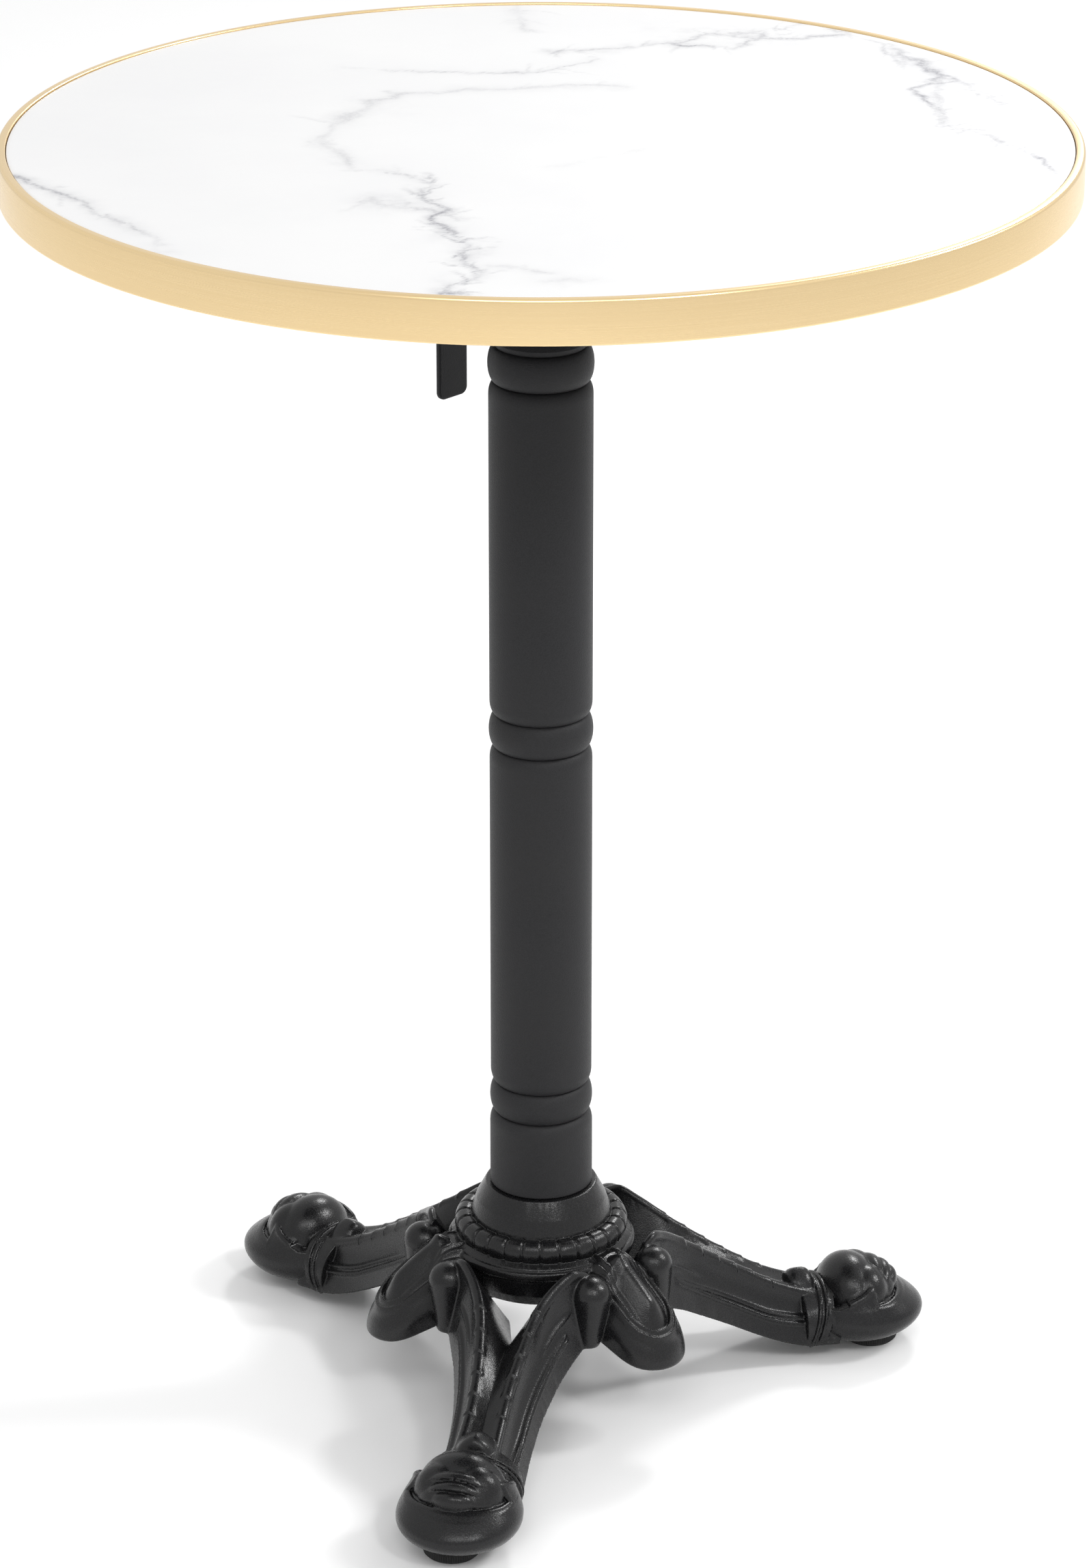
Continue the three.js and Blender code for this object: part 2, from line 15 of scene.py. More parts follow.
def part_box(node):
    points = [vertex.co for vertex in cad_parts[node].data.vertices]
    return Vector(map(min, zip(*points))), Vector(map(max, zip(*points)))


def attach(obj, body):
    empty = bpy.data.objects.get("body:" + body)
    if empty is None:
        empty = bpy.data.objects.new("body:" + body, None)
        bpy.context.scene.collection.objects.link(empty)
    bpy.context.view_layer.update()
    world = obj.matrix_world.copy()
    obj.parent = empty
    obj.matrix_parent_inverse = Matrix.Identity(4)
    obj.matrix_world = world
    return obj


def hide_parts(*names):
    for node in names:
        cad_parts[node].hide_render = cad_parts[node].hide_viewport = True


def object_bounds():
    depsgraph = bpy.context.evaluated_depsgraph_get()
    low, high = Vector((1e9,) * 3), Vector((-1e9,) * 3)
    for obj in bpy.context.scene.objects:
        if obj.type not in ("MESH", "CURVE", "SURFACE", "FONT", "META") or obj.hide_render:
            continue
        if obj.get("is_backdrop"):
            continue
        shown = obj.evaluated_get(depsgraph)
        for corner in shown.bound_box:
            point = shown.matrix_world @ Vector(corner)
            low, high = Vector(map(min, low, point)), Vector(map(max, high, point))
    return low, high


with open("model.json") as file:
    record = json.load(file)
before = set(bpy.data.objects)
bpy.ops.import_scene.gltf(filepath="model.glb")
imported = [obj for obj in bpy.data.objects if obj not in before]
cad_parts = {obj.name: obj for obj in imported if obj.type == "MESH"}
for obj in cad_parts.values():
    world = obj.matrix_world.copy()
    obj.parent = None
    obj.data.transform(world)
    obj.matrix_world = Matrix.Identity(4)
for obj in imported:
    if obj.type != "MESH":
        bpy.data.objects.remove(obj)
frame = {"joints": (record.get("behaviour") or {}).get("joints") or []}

CAD_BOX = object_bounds()
MM = 0.001


# ---------------------------------------------------------------- sizes read from the frame, in millimetres
def node_box(name):
    """Lowest and highest corner of a CAD node, in millimetres."""
    low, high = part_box(name)
    return np.array(low) / MM, np.array(high) / MM


def joint_named(name):
    return next(j for j in frame["joints"] if j["name"] == name)


BAND_LOW, BAND_HIGH = node_box("brass_edge_band")
TOP_RADIUS = BAND_HIGH[1]
TOP_HEIGHT = BAND_HIGH[2]
RIM_BOTTOM = BAND_LOW[2]
MARBLE_LOW, MARBLE_HIGH = node_box("marble_sheet")
MARBLE_RADIUS = MARBLE_HIGH[1]
COLUMN_LOW, COLUMN_HIGH = node_box("column")
BASE_LOW, BASE_HIGH = node_box("base_casting")

TILT_AXIS = np.array(joint_named("top_tilt")["axis"])
MECHANISM_ANGLE = math.atan2(-TILT_AXIS[0], TILT_AXIS[1])
MECHANISM = Matrix.Rotation(MECHANISM_ANGLE, 4, "Z")  # local X points to the side that swings down
LEG_ANGLES = {"front": -90, "right": 30, "left": 150}  # degrees round the column


# ---------------------------------------------------------------- mesh helpers
def added(name, data):
    """A new object in the scene that shows a mesh, a lamp or a camera."""
    piece = bpy.data.objects.new(name, data)
    bpy.context.scene.collection.objects.link(piece)
    return piece


def shape(name, points, faces):
    """A mesh object from points in millimetres."""
    mesh = bpy.data.meshes.new(name)
    scaled = [(x * MM, y * MM, z * MM) for x, y, z in points]
    mesh.from_pydata(scaled, [], faces)
    mesh.update()
    mesh.shade_smooth()
    return added(name, mesh)


def mesh_points(mesh):
    """The mesh's points in millimetres."""
    co = np.zeros(len(mesh.vertices) * 3)
    mesh.vertices.foreach_get("co", co)
    return co.reshape(-1, 3) / MM


def apply_modifiers(piece):
    """Makes the piece's mesh what its modifiers show."""
    evaluated = piece.evaluated_get(bpy.context.evaluated_depsgraph_get())
    mesh = bpy.data.meshes.new_from_object(evaluated)
    piece.modifiers.clear()
    piece.data = mesh


def place(piece, body, slot, *nodes):
    """The piece takes its slot's material, rides on its body and stands for the CAD nodes."""
    piece.data.materials.clear()
    piece.data.materials.append(MATERIALS[slot])
    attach(piece, body)
    if nodes:
        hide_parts(*nodes)
    return piece


def turned(profile, segments, warp=None):
    """Points and faces of a solid of revolution about Z, from a closed loop of (radius, height) or,
    when it starts and ends on the axis, from an open one. warp(angle) is added to the outer radius."""
    points, faces = [], []
    angles = np.linspace(0, 2 * math.pi, segments, endpoint=False)
    on_axis = profile[0][0] == 0 and profile[-1][0] == 0
    rows = profile[1:-1] if on_axis else profile
    for angle in angles:
        for radius, height in rows:
            r = radius + (warp(angle, radius, height) if warp else 0)
            points.append((r * math.cos(angle), r * math.sin(angle), height))
    n = len(rows)
    spans = n - 1 if on_axis else n
    for i in range(segments):
        a, b = i * n, (i + 1) % segments * n
        for k in range(spans):
            l = (k + 1) % n
            faces.append((a + k, b + k, b + l, a + l))
    if on_axis:
        for height, k, order in ((profile[0][1], 0, -1), (profile[-1][1], n - 1, 1)):
            centre = len(points)
            points.append((0, 0, height))
            for i in range(segments):
                a, b = i * n + k, (i + 1) % segments * n + k
                faces.append((centre, a, b)[::order])
    return points, faces


def rounded(profile, radius, steps=5):
    """The profile with each inner corner replaced by an arc-like curve of about that radius."""
    points = [profile[0]]
    for before, corner, after in zip(profile, profile[1:], profile[2:]):
        before, corner, after = (np.array(p, float) for p in (before, corner, after))
        back, on = before - corner, after - corner
        reach = min(radius, np.linalg.norm(back) / 2.01, np.linalg.norm(on) / 2.01)
        start = corner + back / np.linalg.norm(back) * reach
        end = corner + on / np.linalg.norm(on) * reach
        for t in np.linspace(0, 1, steps):
            points.append(tuple((1 - t) ** 2 * start + 2 * t * (1 - t) * corner + t * t * end))
    points.append(profile[-1])
    return points


def mesh_normals_out(piece):
    """Turns every face outwards and welds doubled points."""
    work = bmesh.new()
    work.from_mesh(piece.data)
    bmesh.ops.remove_doubles(work, verts=work.verts, dist=1e-7)
    bmesh.ops.recalc_face_normals(work, faces=work.faces)
    work.to_mesh(piece.data)
    work.free()
    return piece


def crisp(piece, angle):
    """Smooth shading that keeps edges sharper than the angle, in degrees."""
    piece.data.shade_smooth()
    piece.data.set_sharp_from_angle(angle=math.radians(angle))
    return piece


def solid(name, points, faces, angle=35, at=(0, 0, 0)):
    """A closed mesh object moved to a place, crisp at edges sharper than the angle."""
    points = [(x + at[0], y + at[1], z + at[2]) for x, y, z in points]
    return crisp(mesh_normals_out(shape(name, points, faces)), angle)


def turned_piece(name, profile, segments=96, at=(0, 0, 0), lying=False, corner=0.3, warp=None):
    """A turned piece with eased corners, standing along Z or lying along Y, moved to a place."""
    points, faces = turned(rounded(profile, corner), segments, warp)
    if lying:
        points = [(x, z, -y) for x, y, z in points]
    return solid(name, points, faces, at=at)


def in_mechanism(piece):
    """Turns a piece made in the mechanism's axes into the row frame."""
    piece.data.transform(MECHANISM)
    return piece


# ---------------------------------------------------------------- material helpers
def new_material(name, color, roughness, metallic=0.0, **settings):
    """A Principled material and its node tree. Settings are socket names with spaces as underscores."""
    made = bpy.data.materials.new(name)
    made.use_nodes = True
    shader = made.node_tree.nodes["Principled BSDF"]
    shader.inputs["Base Color"].default_value = (*color, 1)
    shader.inputs["Roughness"].default_value = roughness
    shader.inputs["Metallic"].default_value = metallic
    for socket, value in settings.items():
        shader.inputs[socket.replace("_", " ")].default_value = value
    return made, made.node_tree, shader


def node(tree, kind, inputs=None, **settings):
    """Adds a node, sets its properties, and fills its inputs with numbers or with other nodes' outputs."""
    made = tree.nodes.new("ShaderNode" + kind)
    for key, value in settings.items():
        setattr(made, key, value)
    for socket, value in (inputs or {}).items():
        if isinstance(value, bpy.types.NodeSocket):
            tree.links.new(value, made.inputs[socket])
        else:
            made.inputs[socket].default_value = value
    return made


def place_on_piece(tree, stretch=(1, 1, 1)):
    """The point's place on its own piece, stretched along the axes."""
    where = node(tree, "TexCoord").outputs["Object"]
    if tuple(stretch) == (1, 1, 1):
        return where
    return node(tree, "Mapping", {"Vector": where, "Scale": stretch}).outputs["Vector"]


def noise(tree, scale, detail=2, roughness=0.5, vector=None):
    """Noise from 0 to 1 with that many ripples a metre."""
    return node(tree, "TexNoise", {
        "Vector": vector or place_on_piece(tree), "Scale": scale, "Detail": detail, "Roughness": roughness,
    }).outputs["Fac"]


def remap(tree, value, low, high, new_low, new_high, smooth=False):
    """Maps low..high to new_low..new_high, held at both ends."""
    kind = "SMOOTHSTEP" if smooth else "LINEAR"
    return node(tree, "MapRange", {
        "Value": value, "From Min": low, "From Max": high, "To Min": new_low, "To Max": new_high,
    }, interpolation_type=kind).outputs["Result"]


def mixed(tree, share, first, second):
    """A colour between two others, each a triple or another node's output."""
    made = node(tree, "Mix", data_type="RGBA")
    for socket, value in ((0, share), (6, first), (7, second)):
        if isinstance(value, bpy.types.NodeSocket):
            tree.links.new(value, made.inputs[socket])
        else:
            made.inputs[socket].default_value = (*value, 1) if isinstance(value, tuple) else value
    return made.outputs[2]


def combined(tree, operation, first, second):
    return node(tree, "Math", {0: first, 1: second}, operation=operation).outputs[0]


def bump(tree, shader, height, depth_mm, strength=1.0):
    """Roughens the surface's normal with relief of that depth."""
    made = node(tree, "Bump", {"Height": height, "Distance": depth_mm * MM, "Strength": strength})
    tree.links.new(made.outputs["Normal"], shader.inputs["Normal"])


# ---------------------------------------------------------------- materials
def feed(tree, shader, color=None, roughness=None):
    """Links a colour and a roughness to the shader."""
    for socket, value in (("Base Color", color), ("Roughness", roughness)):
        if value is not None:
            tree.links.new(value, shader.inputs[socket])


def grained(name, color, roughness, grain, dark, light, depth_mm, rough_range=None, metallic=0.0):
    """A material whose colour, roughness and relief all follow one fine grain."""
    made, tree, shader = new_material(name, color, roughness, metallic)
    skin = noise(tree, *grain)
    feed(tree, shader, mixed(tree, skin, dark, light))
    if rough_range:
        feed(tree, shader, roughness=remap(tree, skin, 0.3, 0.7, *rough_range))
    bump(tree, shader, skin, depth_mm)
    return made


def powder_coat():
    """Matt charcoal powder coat with a fine grain."""
    made, tree, shader = new_material("powder_coat", (0.02, 0.02, 0.022), 0.5, Specular_IOR_Level=0.28)
    grain = noise(tree, 1300, 3, 0.6)
    drift = noise(tree, 14, 2)
    color = mixed(tree, remap(tree, grain, 0.3, 0.7, 0, 1), (0.009, 0.009, 0.010), (0.020, 0.020, 0.022))
    color = mixed(tree, remap(tree, drift, 0.35, 0.65, 0, 0.35), color, (0.02, 0.0195, 0.0195))
    feed(tree, shader, color, remap(tree, grain, 0.3, 0.7, 0.46, 0.62))
    bump(tree, shader, grain, 0.22)
    return made


def cast_iron():
    """Black enamel over sand-cast iron: glossy, with the casting's fine pits under it."""
    made, tree, shader = new_material("cast_iron", (0.012, 0.012, 0.013), 0.3, Specular_IOR_Level=0.36)
    skin = noise(tree, 1100, 3, 0.55)
    waves = noise(tree, 90, 2)
    drift = noise(tree, 22, 2)
    color = mixed(tree, remap(tree, skin, 0.35, 0.7, 0, 1), (0.004, 0.004, 0.0045), (0.010, 0.010, 0.011))
    color = mixed(tree, remap(tree, drift, 0.4, 0.7, 0, 0.4), color, (0.012, 0.0115, 0.0115))
    feed(tree, shader, color, remap(tree, skin, 0.3, 0.7, 0.2, 0.33))
    bump(tree, shader, combined(tree, "ADD", skin, combined(tree, "MULTIPLY", waves, 1.2)), 0.11)
    return made


def brass():
    """Satin brass, brushed round the edge."""
    made, tree, shader = new_material("satin_brass", (0.8, 0.6, 0.28), 0.27, 1.0)
    lines = noise(tree, 1, 3, 0.6, place_on_piece(tree, (9, 9, 3600)))
    drift = noise(tree, 6, 2)
    color = mixed(tree, remap(tree, lines, 0.3, 0.7, 0, 1), (0.93, 0.705, 0.39), (0.97, 0.75, 0.43))
    color = mixed(tree, remap(tree, drift, 0.35, 0.65, 0, 0.35), color, (0.9, 0.67, 0.355))
    feed(tree, shader, color, remap(tree, lines, 0.25, 0.75, 0.22, 0.3))
    bump(tree, shader, lines, 0.004)
    return made


def marble():
    """White marble-look sheet; its veins are painted from the mesh's own vein and cloud values."""
    made, tree, shader = new_material("white_marble", (0.9, 0.9, 0.9), 0.32)
    vein = node(tree, "Attribute", attribute_name="vein").outputs["Fac"]
    cloud = node(tree, "Attribute", attribute_name="cloud").outputs["Fac"]
    fine = noise(tree, 420, 4, 0.7)
    broken = noise(tree, 95, 4, 0.65)
    drift = remap(tree, noise(tree, 9, 3), 0.35, 0.7, 0, 1)
    body = mixed(tree, drift, (0.755, 0.755, 0.755), (0.73, 0.73, 0.735))
    haze = combined(tree, "MULTIPLY", cloud, remap(tree, broken, 0.3, 0.7, 0.35, 1.1))
    color = mixed(tree, haze, body, (0.5, 0.5, 0.52))
    line = combined(tree, "MULTIPLY", vein, remap(tree, fine, 0.3, 0.62, 0.35, 1.1))
    color = mixed(tree, line, color, (0.22, 0.22, 0.25))
    feed(tree, shader, color, remap(tree, broken, 0.3, 0.7, 0.28, 0.36))
    return made


def particle_board():
    """Pressed wood chips seen at the screw holes."""
    made, tree, shader = new_material("particle_board", (0.45, 0.3, 0.16), 0.8)
    chips = node(tree, "TexVoronoi", {"Vector": place_on_piece(tree), "Scale": 350}).outputs["Color"]
    color = mixed(tree, noise(tree, 500, 3), (0.36, 0.23, 0.12), (0.55, 0.38, 0.21))
    share = node(tree, "SeparateColor", {"Color": chips}).outputs["Red"]
    feed(tree, shader, mixed(tree, combined(tree, "MULTIPLY", share, 0.5), color, (0.62, 0.46, 0.28)))
    bump(tree, shader, share, 0.2)
    return made


MATERIALS = {
    "powder_coat": powder_coat(),
    "cast_iron": cast_iron(),
    "brass": brass(),
    "marble": marble(),
    "zinc": grained("zinc_plate", (0.62, 0.63, 0.64), 0.36, (900, 3), (0.5, 0.51, 0.52),
                    (0.72, 0.73, 0.74), 0.03, (0.28, 0.48), metallic=1.0),
    "rubber": grained("black_rubber", (0.02, 0.02, 0.02), 0.7, (1500, 3), (0.012, 0.012, 0.012),
                      (0.03, 0.03, 0.03), 0.08, (0.6, 0.8)),
    "nylon": grained("white_nylon", (0.75, 0.74, 0.68), 0.5, (600, 2), (0.68, 0.67, 0.61),
                     (0.78, 0.77, 0.72), 0.04),
    "board": particle_board(),
    "backing": grained("dark_backing", (0.025, 0.025, 0.026), 0.62, (700, 4, 0.6), (0.016, 0.016, 0.017),
                       (0.036, 0.035, 0.035), 0.1, (0.52, 0.7)),
}


# ---------------------------------------------------------------- the round top
BAND_SEAM_ANGLE = math.radians(100)  # where the brass strip's two ends meet, at the back


def edge_band():
    """The brass band: a straight outer face, rolled corners and a flat lip over the marble's edge."""
    lip, corner, inner_wall = 5, 2.2, 2.4
    profile = [
        (TOP_RADIUS - inner_wall, TOP_HEIGHT - corner),
        (TOP_RADIUS - lip, TOP_HEIGHT - corner),
        (TOP_RADIUS - lip, TOP_HEIGHT),
        (TOP_RADIUS, TOP_HEIGHT),
        (TOP_RADIUS, RIM_BOTTOM),
        (TOP_RADIUS - inner_wall, RIM_BOTTOM),
    ]
    eased = [profile[0], profile[1]]
    eased += rounded(profile[1:4], 0.7, 6)[1:-1]
    eased += rounded(profile[2:5], 2.2, 9)[1:-1]
    eased += rounded(profile[3:6], 2.0, 7)[1:-1]
    eased += rounded([*profile[4:], profile[0]], 0.5, 4)[1:-1]

    def seam(angle, radius, height):
        """A hairline notch in the outer face where the strip's ends meet."""
        off = (angle - BAND_SEAM_ANGLE + math.pi) % (2 * math.pi) - math.pi
        return -0.6 if abs(off) < math.radians(0.3) and radius > TOP_RADIUS - 1 else 0

    points, faces = turned(eased, 720, seam)
    piece = solid("brass_band", points, faces, 40)
    return place(piece, "table_top", "brass", "brass_edge_band")


# Veins in the marble sheet: strength, half width, wander, number of strokes that branch off, and the course
# as (x, y) points in millimetres from the middle of the top.
VEINS = [
    (0.95, 1.5, 8, 42, [(17, -284), (24, -240), (8, -215), (6, -190), (-11, -164), (-24, -141), (-40, -107),
        (-59, -84)]),
    (0.34, 2.2, 5, 12, [(-59, -84), (-78, -75), (-91, -58), (-111, -34), (-114, -8), (-113, 26), (-110, 51),
        (-99, 68), (-66, 84), (-33, 98), (20, 112)]),
    (0.35, 2.4, 6, 9, [(-60, -131), (-51, -142), (-39, -146), (-20, -147), (-8, -160)]),
    (0.3, 1.6, 3, 2, [(26, -232), (40, -228), (62, -235)]),
    (0.4, 1.0, 4, 5, [(-139, 116), (-118, 115), (-94, 118), (-65, 125), (-30, 137), (-5, 168)]),
    (0.4, 1.5, 5, 5, [(-78, 284), (-70, 250), (-60, 220)]),
    (0.62, 1.6, 6, 9, [(-252, -132), (-232, -152), (-198, -169), (-180, -190), (-157, -217), (-140, -250)]),
    (0.66, 1.4, 7, 24, [(-39, 177), (-5, 185), (23, 213), (63, 208), (74, 252), (100, 272)]),
    (0.58, 1.4, 7, 16, [(23, 213), (48, 240), (86, 236), (118, 250)]),
    (0.66, 1.8, 7, 30, [(110, 262), (153, 218), (196, 171), (180, 142), (194, 101), (210, 75), (236, 54),
        (261, 24), (284, -6)]),
    (0.6, 1.5, 6, 12, [(197, 166), (217, 139), (243, 115)]),
    (0.6, 2.2, 6, 22, [(150, 224), (192, 172), (184, 140), (198, 98), (214, 72), (240, 50)]),
    (0.1, 1.6, 3, 0, [(14, -53), (34, -36), (60, -4)]),
    (0.16, 2.5, 3, 2, [(60, -247), (84, -243)]),
]
# Grey clouds: centre, half sizes, turn in degrees, strength.
CLOUDS = [
    ((-44, -128), (26, 17), 55, 0.3), ((-4, -180), (16, 8), 60, 0.3), ((-96, 40), (18, 34), 20, 0.12),
    ((60, 232), (52, 26), -12, 0.32), ((185, 178), (36, 16), -50, 0.42), ((262, 62), (34, 14), -40, 0.34),
    ((-168, -205), (20, 9), -48, 0.24), ((72, -243), (22, 8), 15, 0.16), ((-72, 255), (24, 12), -70, 0.16),
    ((-108, 4), (10, 22), 0, 0.12), ((232, 120), (34, 16), -45, 0.3), ((14, -262), (10, 16), 20, 0.2),
]


def lattice_noise(x, y, cell, seed):
    """Smooth noise from -1 to 1 over the plane, from a seeded grid of values a cell apart."""
    values = np.random.default_rng(seed).uniform(-1, 1, (64, 64))
    u, v = x / cell + 31.7, y / cell + 17.3
    i, j = np.floor(u).astype(int), np.floor(v).astype(int)
    s, t = u - i, v - j
    s, t = s * s * (3 - 2 * s), t * t * (3 - 2 * t)
    corner = lambda di, dj: values[(i + di) % 64, (j + dj) % 64]
    low = corner(0, 0) * (1 - s) + corner(1, 0) * s
    high = corner(0, 1) * (1 - s) + corner(1, 1) * s
    return low * (1 - t) + high * t


def segment_distance(x, y, start, end):
    """Distance from each point to a straight stroke, and how far along it the nearest place is."""
    along = np.subtract(end, start)
    t = ((x - start[0]) * along[0] + (y - start[1]) * along[1]) / (along @ along)
    t = np.clip(t, 0, 1)
    return np.hypot(x - start[0] - t * along[0], y - start[1] - t * along[1]), t


def vein_values(x, y):
    """How dark the crisp veins and the soft clouds are at each point of the sheet, from 0 to 1."""
    vein = np.zeros_like(x)
    cloud = np.zeros_like(x)
    random = np.random.default_rng(11)
    for number, (strength, width, wander, strokes, course) in enumerate(VEINS):
        wx = x + wander * lattice_noise(x, y, 22, 100 + number) + 2.4 * lattice_noise(x, y, 7, 200 + number)
        wy = y + wander * lattice_noise(x, y, 22, 300 + number) + 2.4 * lattice_noise(x, y, 7, 400 + number)
        wx += 1.3 * lattice_noise(x, y, 3.2, 500 + number)
        wy += 1.3 * lattice_noise(x, y, 3.2, 600 + number)
        patches = 0.62 + 0.5 * lattice_noise(x, y, 26, 700 + number)
        patches = patches + 0.25 * lattice_noise(x, y, 9, 800 + number)
        nearest = np.full_like(x, 1e3)
        for start, end in zip(course, course[1:]):
            nearest = np.minimum(nearest, segment_distance(wx, wy, start, end)[0])
        line = np.exp(-(nearest / width) ** 2) + 0.35 * np.exp(-(nearest / (3.5 * width)) ** 2)
        vein = np.maximum(vein, strength * np.clip(patches, 0, 1.2) * line)
        cloud = np.maximum(cloud, 0.4 * strength * np.clip(patches, 0, 1) * np.exp(-(nearest / 8) ** 2))
        legs = np.diff(np.array(course, float), axis=0)
        lengths = np.hypot(*legs.T)
        for _ in range(strokes):
            leg = random.choice(len(lengths), p=lengths / lengths.sum())
            root = np.array(course[leg]) + random.uniform(0, 1) * legs[leg] + random.normal(0, 3, 2)
            ahead = math.atan2(legs[leg][1], legs[leg][0])
            heading = ahead + random.choice((-1, 1)) * random.uniform(0.5, 1.3)
            tip = root + random.uniform(7, 24) * np.array((math.cos(heading), math.sin(heading)))
            near, along = segment_distance(wx, wy, root, tip)
            stroke = np.exp(-(near / (0.8 * width)) ** 2) * (1 - along) ** 0.7
            vein = np.maximum(vein, random.uniform(0.5, 1.0) * strength * stroke)
    for (cx, cy), (a, b), turn, strength in CLOUDS:
        c, s = math.cos(math.radians(turn)), math.sin(math.radians(turn))
        u, v = ((x - cx) * c + (y - cy) * s) / a, (-(x - cx) * s + (y - cy) * c) / b
        wisps = 0.75 + 0.6 * lattice_noise(x + 0.4 * y, y, 11, 900) + 0.3 * lattice_noise(x, y, 4, 901)
        cloud = np.maximum(cloud, strength * np.clip(wisps, 0, 1.4) * np.exp(-(u * u + v * v) ** 1.2))
    return np.clip(vein, 0, 1), np.clip(cloud, 0, 1)


def disc_grid(count):
    """A square grid of count cells a side bent onto the unit disc, with even cells all over."""
    side = np.linspace(-1, 1, count + 1)
    a, b = np.meshgrid(side, side, indexing="ij")
    wide = np.abs(a) > np.abs(b)
    safe_a, safe_b = np.where(a == 0, 1, a), np.where(b == 0, 1, b)
    radius = np.where(wide, a, b)
    angle = np.where(wide, math.pi / 4 * b / safe_a, math.pi / 2 - math.pi / 4 * a / safe_b)
    return radius * np.cos(angle), radius * np.sin(angle)


def marble_top():
    """The sheet: a fine grid on top that carries the vein values, an eased edge and a plain underside."""
    count, ease = 300, 0.4
    u, v = disc_grid(count)
    flat = MARBLE_RADIUS - ease
    index = np.arange((count + 1) ** 2).reshape(count + 1, count + 1)
    points = np.stack([u.ravel() * flat, v.ravel() * flat, np.full(u.size, MARBLE_HIGH[2])], 1)
    quads = np.stack([index[:-1, :-1], index[1:, :-1], index[1:, 1:], index[:-1, 1:]], -1).reshape(-1, 4)
    ring = np.concatenate([index[:-1, 0], index[-1, :-1], index[:0:-1, -1], index[0, :0:-1]])
    rows, points, faces = [ring], [points], [quads]
    total = len(points[0])
    unit = points[0][ring, :2] / flat
    steps = [(MARBLE_RADIUS - 0.12, MARBLE_HIGH[2] - 0.12), (MARBLE_RADIUS, MARBLE_HIGH[2] - ease),
             (MARBLE_RADIUS, MARBLE_LOW[2] + ease), (flat, MARBLE_LOW[2]), (flat * 0.5, MARBLE_LOW[2])]
    for radius, height in steps:
        rows.append(np.arange(len(ring)) + total)
        points.append(np.column_stack([unit * radius, np.full(len(ring), height)]))
        total += len(ring)
        above, below = rows[-2], rows[-1]
        faces.append(np.stack([above, below, np.roll(below, -1), np.roll(above, -1)], 1))
    points.append([[0, 0, MARBLE_LOW[2]]])
    all_faces = [tuple(map(int, face)) for face in np.concatenate(faces)]
    all_faces += [(int(a), total, int(b)) for a, b in zip(rows[-1], np.roll(rows[-1], -1))]
    piece = solid("marble_top", np.concatenate(points), all_faces, 40)
    x, y, _ = mesh_points(piece.data).T
    for name, values in zip(("vein", "cloud"), vein_values(x, y)):
        layer = piece.data.attributes.new(name, "FLOAT", "POINT")
        layer.data.foreach_set("value", values.astype(np.float32))
    return place(piece, "table_top", "marble", "marble_sheet")


edge_band()
marble_top()


# ---------------------------------------------------------------- column
BEADS = [(177.4, 196.1), (401.7, 421.3), (615.0, 635.5)]  # lower and upper height of each ring
SHAFT = {"radius": 28.75, "foot": 29.25, "bead": 29.2, "valley": 25.2, "neck": 26.0, "shoulder": 7.5,
         "bore": 22}


def shoulder(start, end, radius, steps=9):
    """A quarter ellipse from the full radius at height start to the valley at height end."""
    turns = np.linspace(0, math.pi / 2, steps)
    valley = SHAFT["valley"]
    return [(valley + (radius - valley) * math.cos(t), start + (end - start) * math.sin(t)) for t in turns]


def column():
    """The turned shaft with its three beads, from the foot up and down again through the bore."""
    low, high = COLUMN_LOW[2], COLUMN_HIGH[2]
    foot, reach = SHAFT["foot"], SHAFT["shoulder"]
    profile = [(foot - 0.6, low), (foot, low + 0.7)]
    radius = foot
    for i, (bottom, top) in enumerate(BEADS):
        middle = (bottom + top) / 2
        profile += shoulder(bottom - reach, bottom, radius)
        rise = shoulder(middle, bottom, SHAFT["bead"])[::-1]
        profile += rise[1:] + shoulder(middle, top, SHAFT["bead"])[1:]
        radius = SHAFT["neck"] if i == len(BEADS) - 1 else SHAFT["radius"]
        if radius > SHAFT["valley"]:
            profile += shoulder(top + reach, top, radius)[::-1][1:]
    profile += [(SHAFT["neck"], top + 3), (SHAFT["neck"], high - 0.5), (SHAFT["neck"] - 0.5, high)]
    profile += [(SHAFT["bore"], high), (SHAFT["bore"], low)]
    points, faces = turned(profile, 160)
    piece = solid("turned_column", points, faces, 40)
    return place(piece, "stand", "powder_coat", "column")


column()


# ---------------------------------------------------------------- cast-iron base
# The casting is drawn as a distance field. Every leg, and every leaf between two legs, is alike and the
# same on both sides, so a point is first folded into one leg's own axes: X out along the leg, Y to its
# side and never negative, Z up.
GRID = 0.95  # spacing of the field's samples
FOOT_BOTTOM = BASE_LOW[2]
LEG_COUNT = 3


def curve(*pairs):
    """A smooth function of one value through (place, value) pairs, held at both ends."""
    places, values = np.array(pairs, float).T
    slopes = np.gradient(values, places)

    def at(q):
        q = np.clip(q, places[0], places[-1])
        i = np.clip(np.searchsorted(places, q) - 1, 0, len(places) - 2)
        span = places[i + 1] - places[i]
        t = (q - places[i]) / span
        rise = t * t * (3 - 2 * t)
        ends = slopes[i] * (t - 2 * t * t + t ** 3) + slopes[i + 1] * (t ** 3 - t * t)
        return values[i] * (1 - rise) + values[i + 1] * rise + span * ends
    return at


def through(places, *values):
    """A smooth function through the values at those places."""
    return curve(*zip(places, values))


def fade(q, start, end):
    """0 before start, 1 after end, smooth between; start may be the larger."""
    t = np.clip((q - start) / (end - start), 0, 1)
    return t * t * (3 - 2 * t)


def joined(a, b, soft):
    """Union of two fields with a fillet of about that size."""
    h = np.clip(0.5 + 0.5 * (b - a) / soft, 0, 1)
    return b + (a - b) * h - soft * h * (1 - h)


